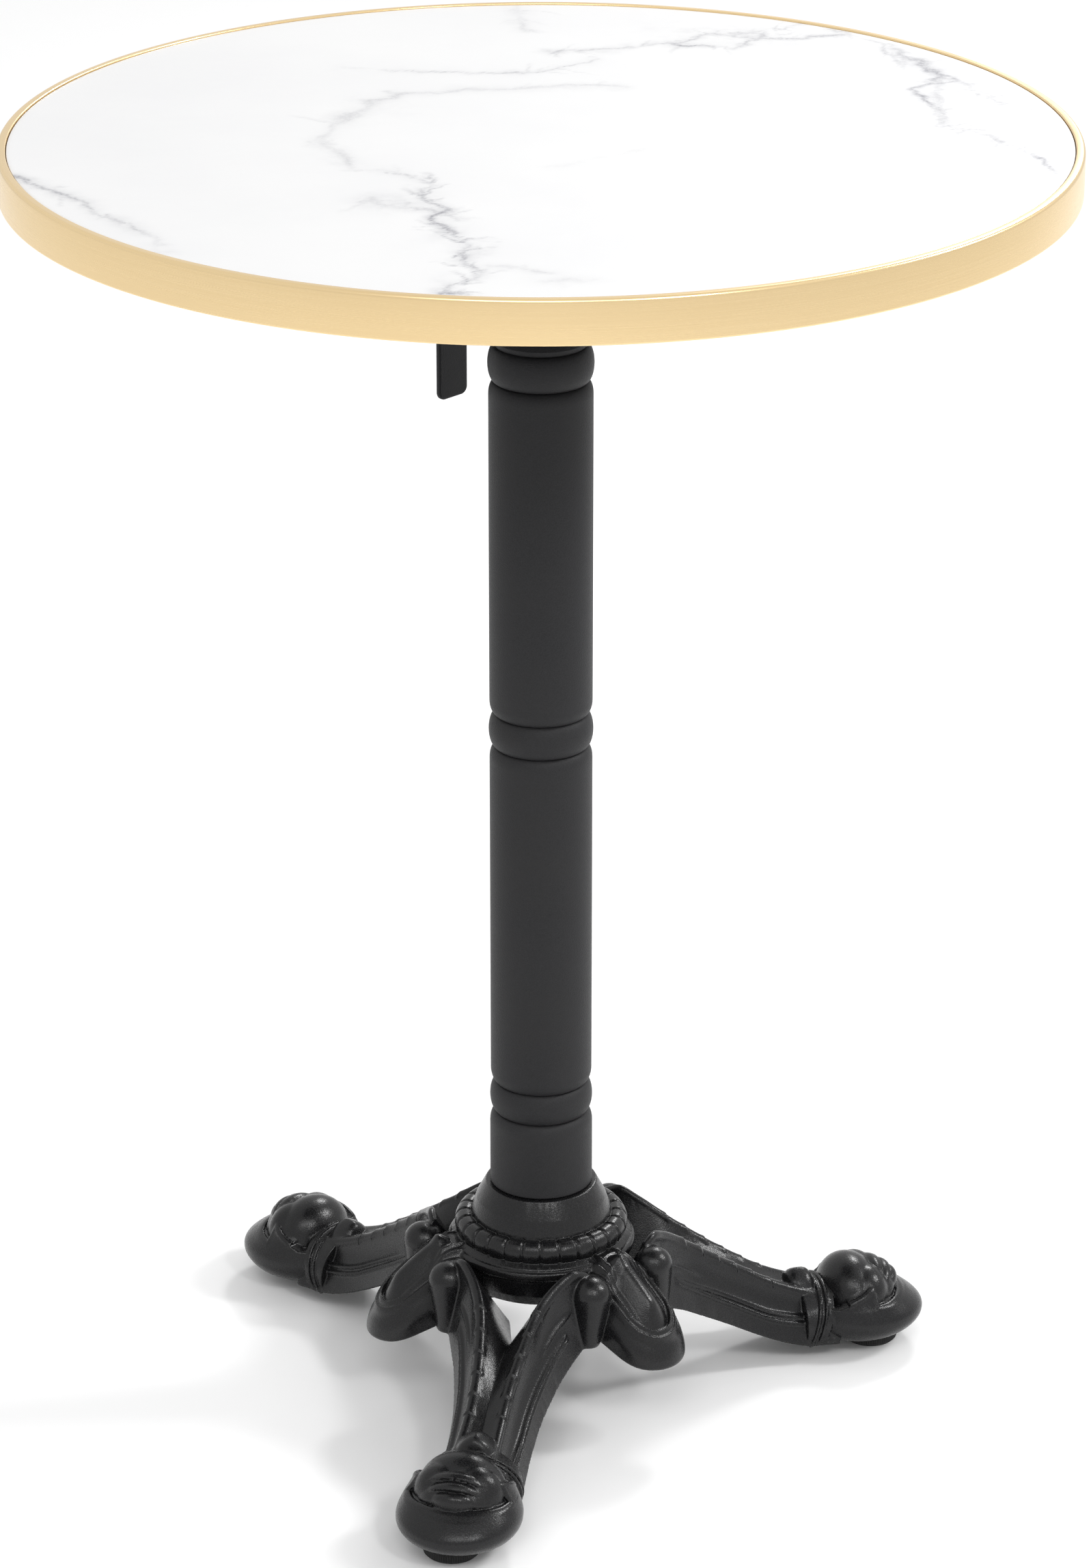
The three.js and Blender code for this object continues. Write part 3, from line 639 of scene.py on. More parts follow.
def common(a, b, soft):
    """Intersection of two fields with a rounded edge."""
    return -joined(-a, -b, soft)


def ridge(distance, width):
    """A rounded ridge's height, from 0 to 1, at a distance from its line."""
    return np.exp(-(distance / width) ** 2)


def ellipsoid(x, y, z, centre, axes):
    u, v, w = (x - centre[0]) / axes[0], (y - centre[1]) / axes[1], (z - centre[2]) / axes[2]
    length = np.sqrt(u * u + v * v + w * w)
    slope = np.sqrt((u / axes[0]) ** 2 + (v / axes[1]) ** 2 + (w / axes[2]) ** 2)
    return length * (length - 1) / np.maximum(slope, 1e-6)


def drop(x, y, z, start, end, start_radius, end_radius):
    """A rod with round ends whose radius changes from one end to the other."""
    along = np.subtract(end, start)
    t = ((x - start[0]) * along[0] + (y - start[1]) * along[1] + (z - start[2]) * along[2]) / (along @ along)
    t = np.clip(t, 0, 1)
    off = [q - s - t * a for q, s, a in zip((x, y, z), start, along)]
    return np.sqrt(off[0] ** 2 + off[1] ** 2 + off[2] ** 2) - start_radius - t * (end_radius - start_radius)


def outline(u, v, corners):
    """Distance to a closed polygon in the plane."""
    nearest = np.full_like(u, 1e9)
    inside = np.zeros(u.shape, bool)
    for (au, av), (bu, bv) in zip(corners, corners[1:] + corners[:1]):
        eu, ev, wu, wv = bu - au, bv - av, u - au, v - av
        t = np.clip((wu * eu + wv * ev) / (eu * eu + ev * ev), 0, 1)
        nearest = np.minimum(nearest, (wu - t * eu) ** 2 + (wv - t * ev) ** 2)
        crosses = ((av > v) != (bv > v)) & (wu < eu * wv / (ev if ev else 1e-9))
        inside ^= crosses
    return np.where(inside, -1, 1) * np.sqrt(nearest)


HUB = {"recess": 38, "recess_top": 89, "rod_hole": 7}
LOBES = 28  # round the hub's ring
# Sections of the hub's turned parts, as (radius, height).
COLLAR = [(-9, 105), (40.2, 105), (39.2, 114), (36.6, 121.5), (31.4, 131.2), (-9, 131.2)]
DRUM = [(-9, 91), (39, 91), (39, 74), (44.6, 74), (49.3, 81), (51, 90), (51, 98), (43, 103), (-9, 103)]
DISC = [(-9, 93.6), (52.4, 93.6), (52.4, 95.4), (-9, 95.4)]
RING = {"radius": 43.6, "height": 105.6, "half_width": 6.3, "half_height": 7.0, "mean": 6.5}


def hub_field(x, y, z, angle):
    """The turned hub: collar, lobed ring, disc and a tapering drum that is hollow from below."""
    r = np.hypot(x, y)
    collar = outline(r, z, COLLAR) - 0.8
    drum = outline(r, z, DRUM) - 1.0
    disc = outline(r, z, DISC) - 1.6
    lobe = (angle * LOBES / (2 * math.pi)) % 1 - 0.5
    groove = ridge(np.abs(np.abs(lobe) - 0.5) * 2 * math.pi / LOBES * 48, 0.85)
    ring = np.hypot((r - RING["radius"]) / RING["half_width"], (z - RING["height"]) / RING["half_height"])
    ring = (ring - 1) * RING["mean"] + 0.95 * groove
    body = joined(joined(drum, disc, 1.2), ring, 0.5)
    body = joined(body, collar, 0.5)
    return common(body, HUB["rod_hole"] - r, 0.5)


# Each arm is half of a leg's wishbone: a tent of two webs under a jointed rail. At a reach from the
# column's axis it has a crest, a lower outer edge, and an inner edge that meets the other arm's further out.
ARM_REACH = (50, 58, 66, 75, 84, 95, 107, 120, 135, 152, 172)
CREST_SIDE = through(ARM_REACH, 37, 31.5, 25, 19.5, 15.8, 13.4, 11.3, 9.8, 9.2, 9.6, 11)
CREST_HEIGHT = through(ARM_REACH, 101, 104, 100, 94, 87, 79, 70.5, 62, 52.5, 44.5, 38)
EDGE_SIDE = through(ARM_REACH, 45, 42.5, 39, 35.5, 32, 29, 26.5, 25.2, 25, 26, 28)
EDGE_HEIGHT = through(ARM_REACH, 69, 62, 56.5, 52, 46.5, 40, 33, 25.5, 18, 12, 10.5)
INNER_SIDE = curve((35, 15), (50, 9.5), (65, 5), (80, 0), (172, 0))
INNER_HEIGHT = curve((35, 68), (50, 63), (65, 60), (80, 59), (95, 57), (107, 54), (120, 50), (135, 44.5),
                     (145, 40), (172, 34))
ARM = {"start": 50, "end": 176, "rail": 3.5, "wall": 7, "joint_from": 82, "joint_to": 139,
       "joint_step": 11.2}


def arm_field(x, y, z):
    """Two webs that lean apart under a rail of overlapping joints, with raised lines down the outer one."""
    s = np.clip(x, ARM["start"], ARM["end"])
    crest, height = CREST_SIDE(s), CREST_HEIGHT(s) - ARM["rail"]
    edge, low = EDGE_SIDE(s), EDGE_HEIGHT(s)
    phase = ((s - 0.15 * np.abs(y - crest) - ARM["joint_from"]) / ARM["joint_step"]) % 1
    jointed = fade(s, ARM["joint_from"] - 9, ARM["joint_from"] - 2)
    jointed = jointed * fade(s, ARM["joint_to"] + 1, ARM["joint_to"])
    lip = 1.15 * phase ** 2.5 * fade(phase, 1, 0.91)
    rail = np.hypot(y - crest, z - height) - (ARM["rail"] - 0.4 + jointed * (lip - 0.25))

    top = crest + 2.9
    du, dv = edge - top, low - height
    length = np.hypot(du, dv)
    down = ((y - top) * du + (z - height) * dv) / length ** 2
    outer = (-(y - top) * dv + (z - height) * du) / length
    under = -outer - ARM["wall"] * (0.75 + 0.25 * fade(down, 0, 1))
    outer = outer + 1.5 * np.sin(math.pi * np.clip(down / 0.52, 0, 1)) * fade(s, 66, 80)
    pair = fade(s, 70, 76) * fade(s, 182, 176)
    centre = 0.60 - 0.02 * fade(s, 84, 120) - 0.10 * fade(s, 128, 165)
    apart = 1.5 + 0.5 * fade(s, 82, 104)
    for side in (-1, 1):
        outer = outer - 1.7 * pair * ridge((down - centre) * length - side * apart, 1.25)
    accent = fade(s, 64, 71) * fade(s, 93, 82)
    outer = outer - 1.4 * accent * ridge((down - 0.37) * length, 1.35)
    web = common(common(outer, under, 1.0), common(low - z, z - height, 1.0), 1.4)

    inner, floor_height = INNER_SIDE(s), INNER_HEIGHT(s)
    iu, iv = inner - crest, floor_height - height
    t = np.clip(((y - crest) * iu + (z - height) * iv) / (iu * iu + iv * iv), 0, 1)
    valley = np.hypot(y - crest - t * iu, z - height - t * iv) - 2.8
    seam = np.hypot(y, z - floor_height - 2.6) - 0.9 * fade(s, 80, 88) - 0.1
    body = joined(joined(web, valley, 1.5), rail, 0.9)
    body = joined(body, seam, 0.8)
    return common(body, np.maximum(ARM["start"] - x, x - ARM["end"]), 1.0)


LEAF = {"half_width": 23.0, "round_from": 81.5}
LEAF_BACK = curve((30, 99), (44, 100), (56, 101), (66, 96.5), (75, 90), (84, 82.5), (94, 74), (104.5, 68))
LEAF_LOW = curve((40, 70), (58, 61), (72, 56), (84, 52), (94, 48.5), (104.5, 46.5))


def leaf_field(x, y, z):
    """A drooping leaf: a smooth border, a double line inside it, a middle lobe and pleats from the hub."""
    inside = LEAF["half_width"] - np.hypot(np.maximum(x - LEAF["round_from"], 0), y)
    share = np.clip(1 - inside / LEAF["half_width"], 0, 1.4)
    back = LEAF_BACK(x) - (23 - 7 * fade(x, 62, 98)) * share ** 2.5
    line = fade(x, 62, 68)
    back = back - 3.0 * line * fade(inside, 7, 10.5)
    for inset in (5.4, 8.6):
        back = back + 2.6 * line * ridge(inside - inset, 1.1)
    lobe = np.hypot(np.maximum(np.abs(x - 75) - 11, 0), y) - 8.6
    back = back + 6.0 * fade(lobe, 1.2, -8) - 0.6 * ridge(lobe - 1.0, 1.0)
    for root, tip in ((7, 9.5), (11.5, 11.6), (16, 13.7)):
        path = root + (tip - root) * fade(x, 50, 70)
        back = back + 2.0 * fade(x, 71, 64) * ridge(y - path, 1.35)
    top = (z - back) * 0.72
    body = common(common(top, -inside, 3.2), LEAF_LOW(x) - z, 3.0)
    return common(body, 30 - x, 1.0)


SKIRT_LEVEL = (9, 12, 17, 22, 30, 36, 42, 46)
SKIRT_CENTRE = through(SKIRT_LEVEL, 195, 196, 197, 197, 194, 190, 188, 187)
SKIRT_LENGTH = through(SKIRT_LEVEL, 27, 32, 36.3, 37.2, 32.4, 26.5, 21, 18)
SKIRT_WIDTH = through(SKIRT_LEVEL, 26.5, 30.5, 34.2, 35, 32, 28.8, 26, 23)
# The slipper's side view: low round the toes, a step up to a tab, then the heel.
RIM = [
    (140, 0), (140, 30), (176, 32), (184, 36), (196.8, 41.5), (197.8, 31.6), (206, 31.6), (214, 32.4),
    (222, 33.2), (245, 33.2), (245, 0),
]
KNUCKLE = {"x": 199, "z": 28, "radius": 20.6}  # the axis that the toe's folds turn about
FOLDS = ((85, 24), (65, 20.5), (47, 18))  # each fold's upper end in degrees above the toe, half width


def toe_field(x, y, z):
    """Folds like a visor's, all turning about one axis across the foot, each tucked under the one behind."""
    u, w = x - KNUCKLE["x"], z - KNUCKLE["z"]
    around = np.degrees(np.arctan2(w, u))
    body = None
    for number, (high, half) in enumerate(FOLDS):
        last = number + 1 == len(FOLDS)
        lip = -90 if last else FOLDS[number + 1][0]
        swell = np.sin(math.pi / 2 * np.clip((high - around) / 13, 0, 1))
        radius = KNUCKLE["radius"] + 2.8 * swell
        radius = radius - 2.9 * fade(around, lip + 1.2, lip - 1.2)
        radius = radius - 3 * fade(around, 34, 10)
        length = np.sqrt((u * u + w * w) / radius ** 2 + (y / half) ** 2)
        slope = np.sqrt((u * u + w * w) / radius ** 4 + (y / half ** 2) ** 2)
        fold = length * (length - 1) / np.maximum(slope, 1e-6)
        body = fold if body is None else joined(body, fold, 0.3)
    return common(body, KNUCKLE["x"] - 6 - x, 0.5)


def foot_field(x, y, z):
    """A smooth slipper with a double line along its rim; in it a ball, folded toes, a collar and a bud."""
    u, v = x - SKIRT_CENTRE(z), y
    a, b = SKIRT_LENGTH(z), SKIRT_WIDTH(z)
    length = np.sqrt((u / a) ** 2 + (v / b) ** 2)
    wall = length * (length - 1) / np.maximum(np.sqrt((u / a ** 2) ** 2 + (v / b ** 2) ** 2), 1e-6)
    edge = outline(x, z, RIM)
    slipper = common(common(wall, FOOT_BOTTOM - z, 2.6), edge, 1.0)
    body = joined(common(slipper, z - 31, 0.8), common(slipper, -wall - 5, 1.0), 0.8)
    for inset in (1.2, 4.4):
        line = np.hypot(wall + inset, edge) - 1.5
        body = joined(body, common(line, 181 - x, 0.5), 0.8)
    body = joined(body, ellipsoid(x, y, z, (189.5, 0, 31.5), (19, 25, 22.6)), 1.8)
    body = joined(body, ellipsoid(x, y, z, (197, 9, 32), (14, 17, 18.4)), 0.6)
    body = joined(body, toe_field(x, y, z), 0.4)
    arch = np.hypot(y / 26.5, (z - 20) / 21.5)
    across = (arch - 1) * 21
    leaning = x - 0.28 * (z - 42)
    collar = common(across, np.maximum(156 - x, leaning - 176.5), 1.0)
    for reach in (167.3, 171.3):
        collar = joined(collar, common(across - 1.3, np.abs(leaning - reach) - 0.9, 0.6), 0.5)
    body = joined(body, common(collar, FOOT_BOTTOM - z, 0.5), 0.5)
    bud = common(np.hypot(y + 5, z - 33) - 18, ellipsoid(x, y, z, (158, 0, 33), (10, 15, 19.5)), 3.0)
    body = joined(body, bud, 1.0)
    groove = np.hypot(x - 162.5, (y - 31) * 0.5) - 1.6
    body = common(body, -common(groove, z - 26, 1.0), 0.8)
    return common(body, FOOT_BOTTOM - z, 0.5)


def base_field(points):
    """Distance to the whole casting's surface in millimetres, negative inside."""
    x, y, z = points.T
    angle = np.arctan2(y, x)
    wedge = 2 * math.pi / LEG_COUNT
    folded = (angle - math.radians(LEG_ANGLES["front"]) + wedge / 2) % wedge - wedge / 2
    r = np.hypot(x, y)
    leg_x, leg_y = r * np.cos(folded), np.abs(r * np.sin(folded))
    c, s = math.cos(wedge / 2), math.sin(wedge / 2)
    leaf_x, leaf_y = leg_x * c + leg_y * s, np.abs(leg_x * s - leg_y * c)
    body = hub_field(x, y, z, angle)
    body = joined(body, leaf_field(leaf_x, leaf_y, z), 1.5)
    body = joined(body, arm_field(leg_x, leg_y, z), 1.2)
    tear = drop(leg_x, leg_y, z, (54.5, 42, 88), (57.5, 41.5, 62), 11.4, 6.8)
    body = joined(body, common(tear, 58 - z, 1.5), 1.6)
    body = joined(body, foot_field(leg_x, leg_y, z), 1.0)
    under = common(r - HUB["recess"], z - HUB["recess_top"], 0.5)
    return common(body, -under, 0.5)


def in_chunks(field, points, size=400_000):
    return np.concatenate([field(points[i:i + size]) for i in range(0, len(points), size)])


def gradient(field, points, step=0.08):
    """The field's slope at each point, from four corners of a small tetrahedron."""
    total = np.zeros_like(points)
    for corner in ((1, -1, -1), (-1, -1, 1), (-1, 1, -1), (1, 1, 1)):
        total += np.outer(in_chunks(field, points + np.array(corner) * step), corner)
    return total / (4 * step)


def sampled_field(field, low, high, step, block=6):
    """The field on a grid. Only blocks near the surface are worked out in full."""
    count = np.ceil((high - low) / (step * block)).astype(int)
    middles = [low[i] + (np.arange(count[i]) + 0.5) * step * block for i in range(3)]
    centres = np.stack(np.meshgrid(*middles, indexing="ij"), -1).reshape(-1, 3)
    rough = in_chunks(field, centres)
    near = np.abs(rough) < step * block * 1.35
    inner = (np.arange(block) + 0.5 - block / 2) * step
    offsets = np.stack(np.meshgrid(inner, inner, inner, indexing="ij"), -1).reshape(-1, 3)
    fine = (centres[near][:, None, :] + offsets).reshape(-1, 3)
    blocks = np.repeat(rough[:, None], block ** 3, 1)
    blocks[near] = in_chunks(field, fine).reshape(-1, block ** 3)
    grid = blocks.reshape(*count, block, block, block).transpose(0, 3, 1, 4, 2, 5)
    return grid.reshape(*(count * block)), low + step / 2


def surface(grid, origin, step):
    """Surface nets: one point in each cell that the surface crosses, one quad for each crossed grid edge."""
    shape_of_cells = np.array(grid.shape) - 1
    inside = grid < 0
    total = np.zeros((int(np.prod(shape_of_cells)), 3))
    hits = np.zeros(len(total))
    quads = []
    for axis in range(3):
        first = [slice(None)] * 3
        second = [slice(None)] * 3
        first[axis], second[axis] = slice(None, -1), slice(1, None)
        crossed = np.argwhere(inside[tuple(first)] != inside[tuple(second)])
        start = grid[tuple(first)][tuple(crossed.T)]
        end = grid[tuple(second)][tuple(crossed.T)]
        crossing = crossed.astype(float)
        crossing[:, axis] += start / (start - end)
        one, two = (axis + 1) % 3, (axis + 2) % 3
        cells = []
        for back_one, back_two in ((0, 0), (1, 0), (1, 1), (0, 1)):
            cell = crossed.copy()
            cell[:, one] -= back_one
            cell[:, two] -= back_two
            flat = np.ravel_multi_index(cell.T, shape_of_cells)
            np.add.at(total, flat, crossing)
            np.add.at(hits, flat, 1)
            cells.append(flat)
        quad = np.stack(cells, 1)
        outward = start < 0
        quads.append(np.where(outward[:, None], quad, quad[:, ::-1]))
    quads = np.concatenate(quads)
    used = np.flatnonzero(hits)
    number = np.full(len(hits), -1)
    number[used] = np.arange(len(used))
    return origin + total[used] / hits[used][:, None] * step, number[quads]


def settle(field, points, rounds=2, most=0.6):
    """Moves points onto the field's surface."""
    for _ in range(rounds):
        slope = gradient(field, points)
        square = np.maximum((slope ** 2).sum(1), 0.05)
        move = -in_chunks(field, points) / square
        move = np.clip(move, -most, most)
        points = points + slope * move[:, None]
    return points


def field_piece(name, field, low, high, step, most=60_000):
    """A mesh of a field's surface, thinned where it is flat, with its normals read from the field."""
    low, high = np.array(low, float) - 4 * step, np.array(high, float) + 4 * step
    grid, origin = sampled_field(field, low, high, step)
    points, quads = surface(grid, origin, step)
    points = settle(field, points)
    mesh = bpy.data.meshes.new(name)
    mesh.vertices.add(len(points))
    mesh.vertices.foreach_set("co", (points * MM).ravel())
    mesh.loops.add(quads.size)
    mesh.loops.foreach_set("vertex_index", quads.ravel())
    mesh.polygons.add(len(quads))
    mesh.polygons.foreach_set("loop_start", np.arange(len(quads)) * 4)
    mesh.update(calc_edges=True)
    mesh.validate()
    piece = added(name, mesh)
    triangles = 2 * len(quads)
    if triangles > most:
        thin = piece.modifiers.new("thin", "DECIMATE")
        thin.ratio = most / triangles
        apply_modifiers(piece)
    piece.data.shade_smooth()
    normals = gradient(field, mesh_points(piece.data), 0.25)
    normals /= np.maximum(np.linalg.norm(normals, axis=1), 1e-9)[:, None]
    piece.data.normals_split_custom_set_from_vertices(normals)
    return piece


def base_casting():
    piece = field_piece("iron_base", base_field, BASE_LOW, BASE_HIGH, GRID, 190_000)
    place(piece, "stand", "cast_iron", "base_casting")


base_casting()


# ---------------------------------------------------------------- shapes shared by the smaller parts
def slab(u, half_u, v, half_v, corner):
    """A rectangle with round corners, centred on u = v = 0."""
    du, dv = np.abs(u) - half_u + corner, np.abs(v) - half_v + corner
    return np.hypot(np.maximum(du, 0), np.maximum(dv, 0)) + np.minimum(np.maximum(du, dv), 0) - corner


def between(q, low, high):
    return np.maximum(low - q, q - high)


def hexagon(u, v, radius):
    """A hexagon with corners at that radius."""
    flat = radius * math.cos(math.pi / 6)
    turns = [math.pi / 6 + i * math.pi / 3 for i in range(3)]
    return np.max([np.abs(u * math.cos(t) + v * math.sin(t)) for t in turns], axis=0) - flat


def nut_field(radius, bore, low, high):
    """A hexagon nut about Z, with its corners turned off and its bore countersunk at both ends."""
    def field(points):
        x, y, z = points.T
        r = np.hypot(x, y)
        end = np.minimum(z - low, high - z)
        body = common(common(hexagon(x, y, radius), -end, 0.4), (r - radius + 0.9 - 1.7 * end) * 0.5, 0.3)
        hole = bore + np.maximum(0.9 - end, 0)
        return common(body, hole - r, 0.2)
    return field


def along_y(points):
    """Turns places given along the local Y axis to stand along Z."""
    return np.stack([points[:, 0], points[:, 2], points[:, 1]], 1)


def at_place(field, at, lying=False):
    """The field moved to a place, standing along Z or lying along Y."""
    def moved(points):
        points = points - np.array(at)
        return field(along_y(points) if lying else points)
    return moved


def threaded_rod(name, radius, low, high, threads, pitch, at=(0, 0, 0), sides=36):
    """A rod along Z. threads gives the stretches with a real helical thread; both ends are chamfered."""
    depth = 0.55 * pitch
    heights = [low]
    while heights[-1] < high - 1e-6:
        z = heights[-1]
        cut = any(a - 1e-6 <= z < b for a, b in threads)
        starts = [a for a, b in threads if a > z + 1e-6]
        step = pitch / 8 if cut else min([30] + [a - z for a in starts])
        heights.append(min(z + step, high))
    points, faces = [(0, 0, low)], []
    for z in heights:
        share = max([min(z - a, b - z) for a, b in threads] + [0])
        end = min(z - low, high - z)
        for i in range(sides):
            turn = i / sides
            wave = abs(((z / pitch - turn) % 1) * 2 - 1)
            r = radius - depth * (1 - wave) * min(share / pitch, 1) - max(0.8 - end, 0)
            angle = 2 * math.pi * turn
            points.append((r * math.cos(angle), r * math.sin(angle), z))
    points.append((0, 0, high))
    last = len(points) - 1
    for i in range(sides):
        j = (i + 1) % sides
        faces.append((0, 1 + j, 1 + i))
        faces.append((last, last - sides + i, last - sides + j))
        for k in range(len(heights) - 1):
            a, b = 1 + k * sides, 1 + (k + 1) * sides
            faces.append((a + i, a + j, b + j, b + i))
    return solid(name, points, faces, 50, at)


def lying_down(piece, at):
    """Turns a piece made along Z to lie along the mechanism's Y axis through a place."""
    turn = Matrix(((1, 0, 0, 0), (0, 0, 1, 0), (0, -1, 0, 0), (0, 0, 0, 1)))
    piece.data.transform(Matrix.Translation(Vector(at) * MM) @ turn)
    return piece


def tube(name, path, radius, sides=14):
    """A wire of round section along a path, with closed ends."""
    path = np.array(path, float)
    ahead = np.gradient(path, axis=0)
    ahead /= np.linalg.norm(ahead, axis=1)[:, None]
    side = np.cross(ahead[0], (0.31, 0.87, 0.38))
    points, faces = [], []
    for centre, direction in zip(path, ahead):
        side = side - direction * (side @ direction)
        side /= np.linalg.norm(side)
        up = np.cross(direction, side)
        for i in range(sides):
            angle = 2 * math.pi * i / sides
            points.append(tuple(centre + radius * (math.cos(angle) * side + math.sin(angle) * up)))
    for k in range(len(path) - 1):
        a, b = k * sides, (k + 1) * sides
        faces += [(a + i, a + (i + 1) % sides, b + (i + 1) % sides, b + i) for i in range(sides)]
    faces.append(tuple(range(sides))[::-1])
    faces.append(tuple(range(len(points) - sides, len(points))))
    return solid(name, points, faces, 50)


def merged(name, *pieces):
    """One piece made of several closed shells."""
    work = bmesh.new()
    for piece in pieces:
        work.from_mesh(piece.data)
    mesh = bpy.data.meshes.new(name)
    work.to_mesh(mesh)
    work.free()
    for piece in pieces:
        bpy.data.objects.remove(piece)
    return added(name, mesh)


# ---------------------------------------------------------------- board, plate and tilt mechanism
# Places and sizes in the mechanism's own axes, in millimetres.
PIVOT = {"x": 20, "z": 707, "pin": 5, "barrel": 9, "half_width": 24}
EAR = {"inner": 28.6, "outer": 33.6}
BOLT = {"head": 8, "head_height": 5, "nut": 9, "nut_height": 7, "past_seat": 8.7, "pitch": 1.5, "washer": 8.5}
LATCH = {"x": -63, "z": 714, "pin": 3, "barrel": 6, "width": 22, "bottom": 590, "blade": 3}
LATCH_EAR = {"inner": 15.6, "outer": 19.0, "radius": 7}
SPRING = {"wire": 0.58, "turns": 3, "mean_radius": 4.75, "start": 11.6, "end": 15.2}
ROD = {"nut": 10.5, "bore": 6, "pitch": 1.75, "top_thread": 30, "bottom_thread": 34}
REST_SIDE = 14  # how far each rubber rest sits from the middle
PLATE = {"side": 190, "corner": 14, "top": 727.6, "bottom": 723.1}
SCREW = {"offset": 80, "hole": 2.9, "head": 5, "head_height": 2.6, "radius": 2.4, "pitch": 1.4}
SCREW_PLACES = [(x * SCREW["offset"], y * SCREW["offset"]) for x, y in ((1, 1), (1, -1), (-1, 1), (-1, -1))]
FINE = 1.0
BORE = 0.4  # clearance round pins, rods and bolts
GAP = 0.3  # clearance between pieces that touch


def drilled_disc(name, node_name, slot, hole_top):
    """A round sheet with the four screw holes in it, up to the given height."""
    low, high = node_box(node_name)
    radius, hole_low = high[1], low[2] - 5
    profile = rounded([(0, low[2]), (radius, low[2]), (radius, high[2]), (0, high[2])], 0.2)
    piece = in_mechanism(mesh_normals_out(shape(name, *turned(profile, 288))))
    bore = SCREW["hole"]
    for x, y in SCREW_PLACES:
        points, faces = turned([(0, hole_low), (bore, hole_low), (bore, hole_top), (0, hole_top)], 48)
        points = [(a + x, b + y, c) for a, b, c in points]
        drill = in_mechanism(mesh_normals_out(shape("drill", points, faces)))
        hole = piece.modifiers.new("hole", "BOOLEAN")
        hole.operation, hole.object, hole.solver = "DIFFERENCE", drill, "EXACT"
        apply_modifiers(piece)
        bpy.data.objects.remove(drill)
    place(crisp(piece, 30), "table_top", slot, node_name)


def hanging_ear(x, z, centre, radius):
    """An ear's outline in the plane: straight sides above the pin, round below it."""
    return np.hypot(x - centre[0], np.minimum(z - centre[1], 0)) - radius


def plate_field(points):
    """A pressed plate with two ears for the pivot and two for the latch, welded on with fillets."""
    x, y, z = points.T
    half = PLATE["side"] / 2
    body = common(slab(x, half, y, half, PLATE["corner"]), between(z, PLATE["bottom"], PLATE["top"]), 0.9)
    ears = (
        ((PIVOT["x"], PIVOT["z"]), PIVOT["barrel"], PIVOT["pin"], EAR["inner"], EAR["outer"]),
        ((LATCH["x"], LATCH["z"]), LATCH_EAR["radius"], LATCH["pin"],
         LATCH_EAR["inner"], LATCH_EAR["outer"]),
    )
    for centre, radius, pin, inner, outer in ears:
        ear = common(hanging_ear(x, z, centre, radius), between(np.abs(y), inner, outer), 0.7)
        ear = common(ear, z - PLATE["bottom"] - 1.5, 0.3)
        body = joined(body, ear, 3.0)
        across = np.abs(y) - (inner + outer) / 2
        bore = np.maximum(np.hypot(x - centre[0], z - centre[1]) - pin - BORE, np.abs(across) - 9)
        body = common(body, -bore, 0.4)
    for side_x, side_y in SCREW_PLACES:
        body = common(body, SCREW["hole"] - np.hypot(x - side_x, y - side_y), 0.5)
    return body


HEAD = {"floor": 703, "deck": 711, "saddle": 719, "lip": 707, "lip_end": -53, "saddle_outer": -39,
        "saddle_inner": -23, "flange": 27, "spigot": 21.2, "spigot_low": 677, "seat": 695.3,
        "rod_hole": 6.6}
EDGE = 1.4  # rounding of the head casting's edges


def head_field(points):
    """The head casting: beam, pivot barrel, rest saddle, catch lip, flange and spigot."""
    x, y, z = points.T
    e = EDGE
    low, deck, lip, saddle = HEAD["floor"] + e, HEAD["deck"] - e, HEAD["lip"] - e, HEAD["saddle"] - e
    end, outer, inner = HEAD["lip_end"] + e, HEAD["saddle_outer"] + e, HEAD["saddle_inner"] - e
    corners = [(end, low), (PIVOT["x"], low), (PIVOT["x"], deck), (inner, deck), (inner, saddle),
               (outer, saddle), (outer, lip), (end, lip)]
    from_pivot = np.hypot(x - PIVOT["x"], z - PIVOT["z"])
    side = joined(outline(x, z, corners) - e, from_pivot - PIVOT["barrel"], 1.5)
    beam = common(side, np.abs(y) - PIVOT["half_width"], e)
    r = np.hypot(x, y)
    flange = common(r - HEAD["flange"], between(z, HEAD["seat"], HEAD["floor"] + 2), 1.0)
    spigot = common(r - HEAD["spigot"], between(z, HEAD["spigot_low"], HEAD["floor"]), 1.0)
    body = joined(joined(beam, flange, 1.6), spigot, 0.4)
    body = common(body, PIVOT["pin"] + BORE - from_pivot, 0.5)
    return common(body, HEAD["rod_hole"] - r, 0.5)


def lever_field(points):
    """The latch: a pull blade with rounded corners and a hook that catches under the head's lip."""
    x, y, z = points.T
    middle, half_tall = (LATCH["bottom"] + LATCH["z"]) / 2, (LATCH["z"] - LATCH["bottom"]) / 2
    back = LATCH["x"] - LATCH["barrel"]
    face = back + LATCH["blade"]
    blade = common(slab(y, LATCH["width"] / 2, z - middle, half_tall, 4.5), between(x, back, face), 0.9)
    low, top, tip = HEAD["floor"] - 4, HEAD["floor"] - GAP, HEAD["lip_end"] + 4
    corners = [
        (back + 0.6, low - 1.4), (face - 0.6, low - 1.4), (face + 1.6, low + 0.6), (tip - 0.6, low + 0.6),
        (tip - 0.6, low + 1.8), (tip - 2.2, top - 0.6), (face, top - 0.6),
        (LATCH["x"] + 3.2, LATCH["z"] - 4), (LATCH["x"], LATCH["z"]), (back + 0.6, LATCH["z"]),
    ]
    from_pin = np.hypot(x - LATCH["x"], z - LATCH["z"])
    hook = joined(outline(x, z, corners) - 0.6, from_pin - LATCH["barrel"], 1.0)
    hook = common(hook, np.abs(y) - LATCH["width"] / 2 + 1, 0.7)
    body = joined(blade, hook, 1.5)
    return common(body, LATCH["pin"] + BORE - from_pin, 0.4)


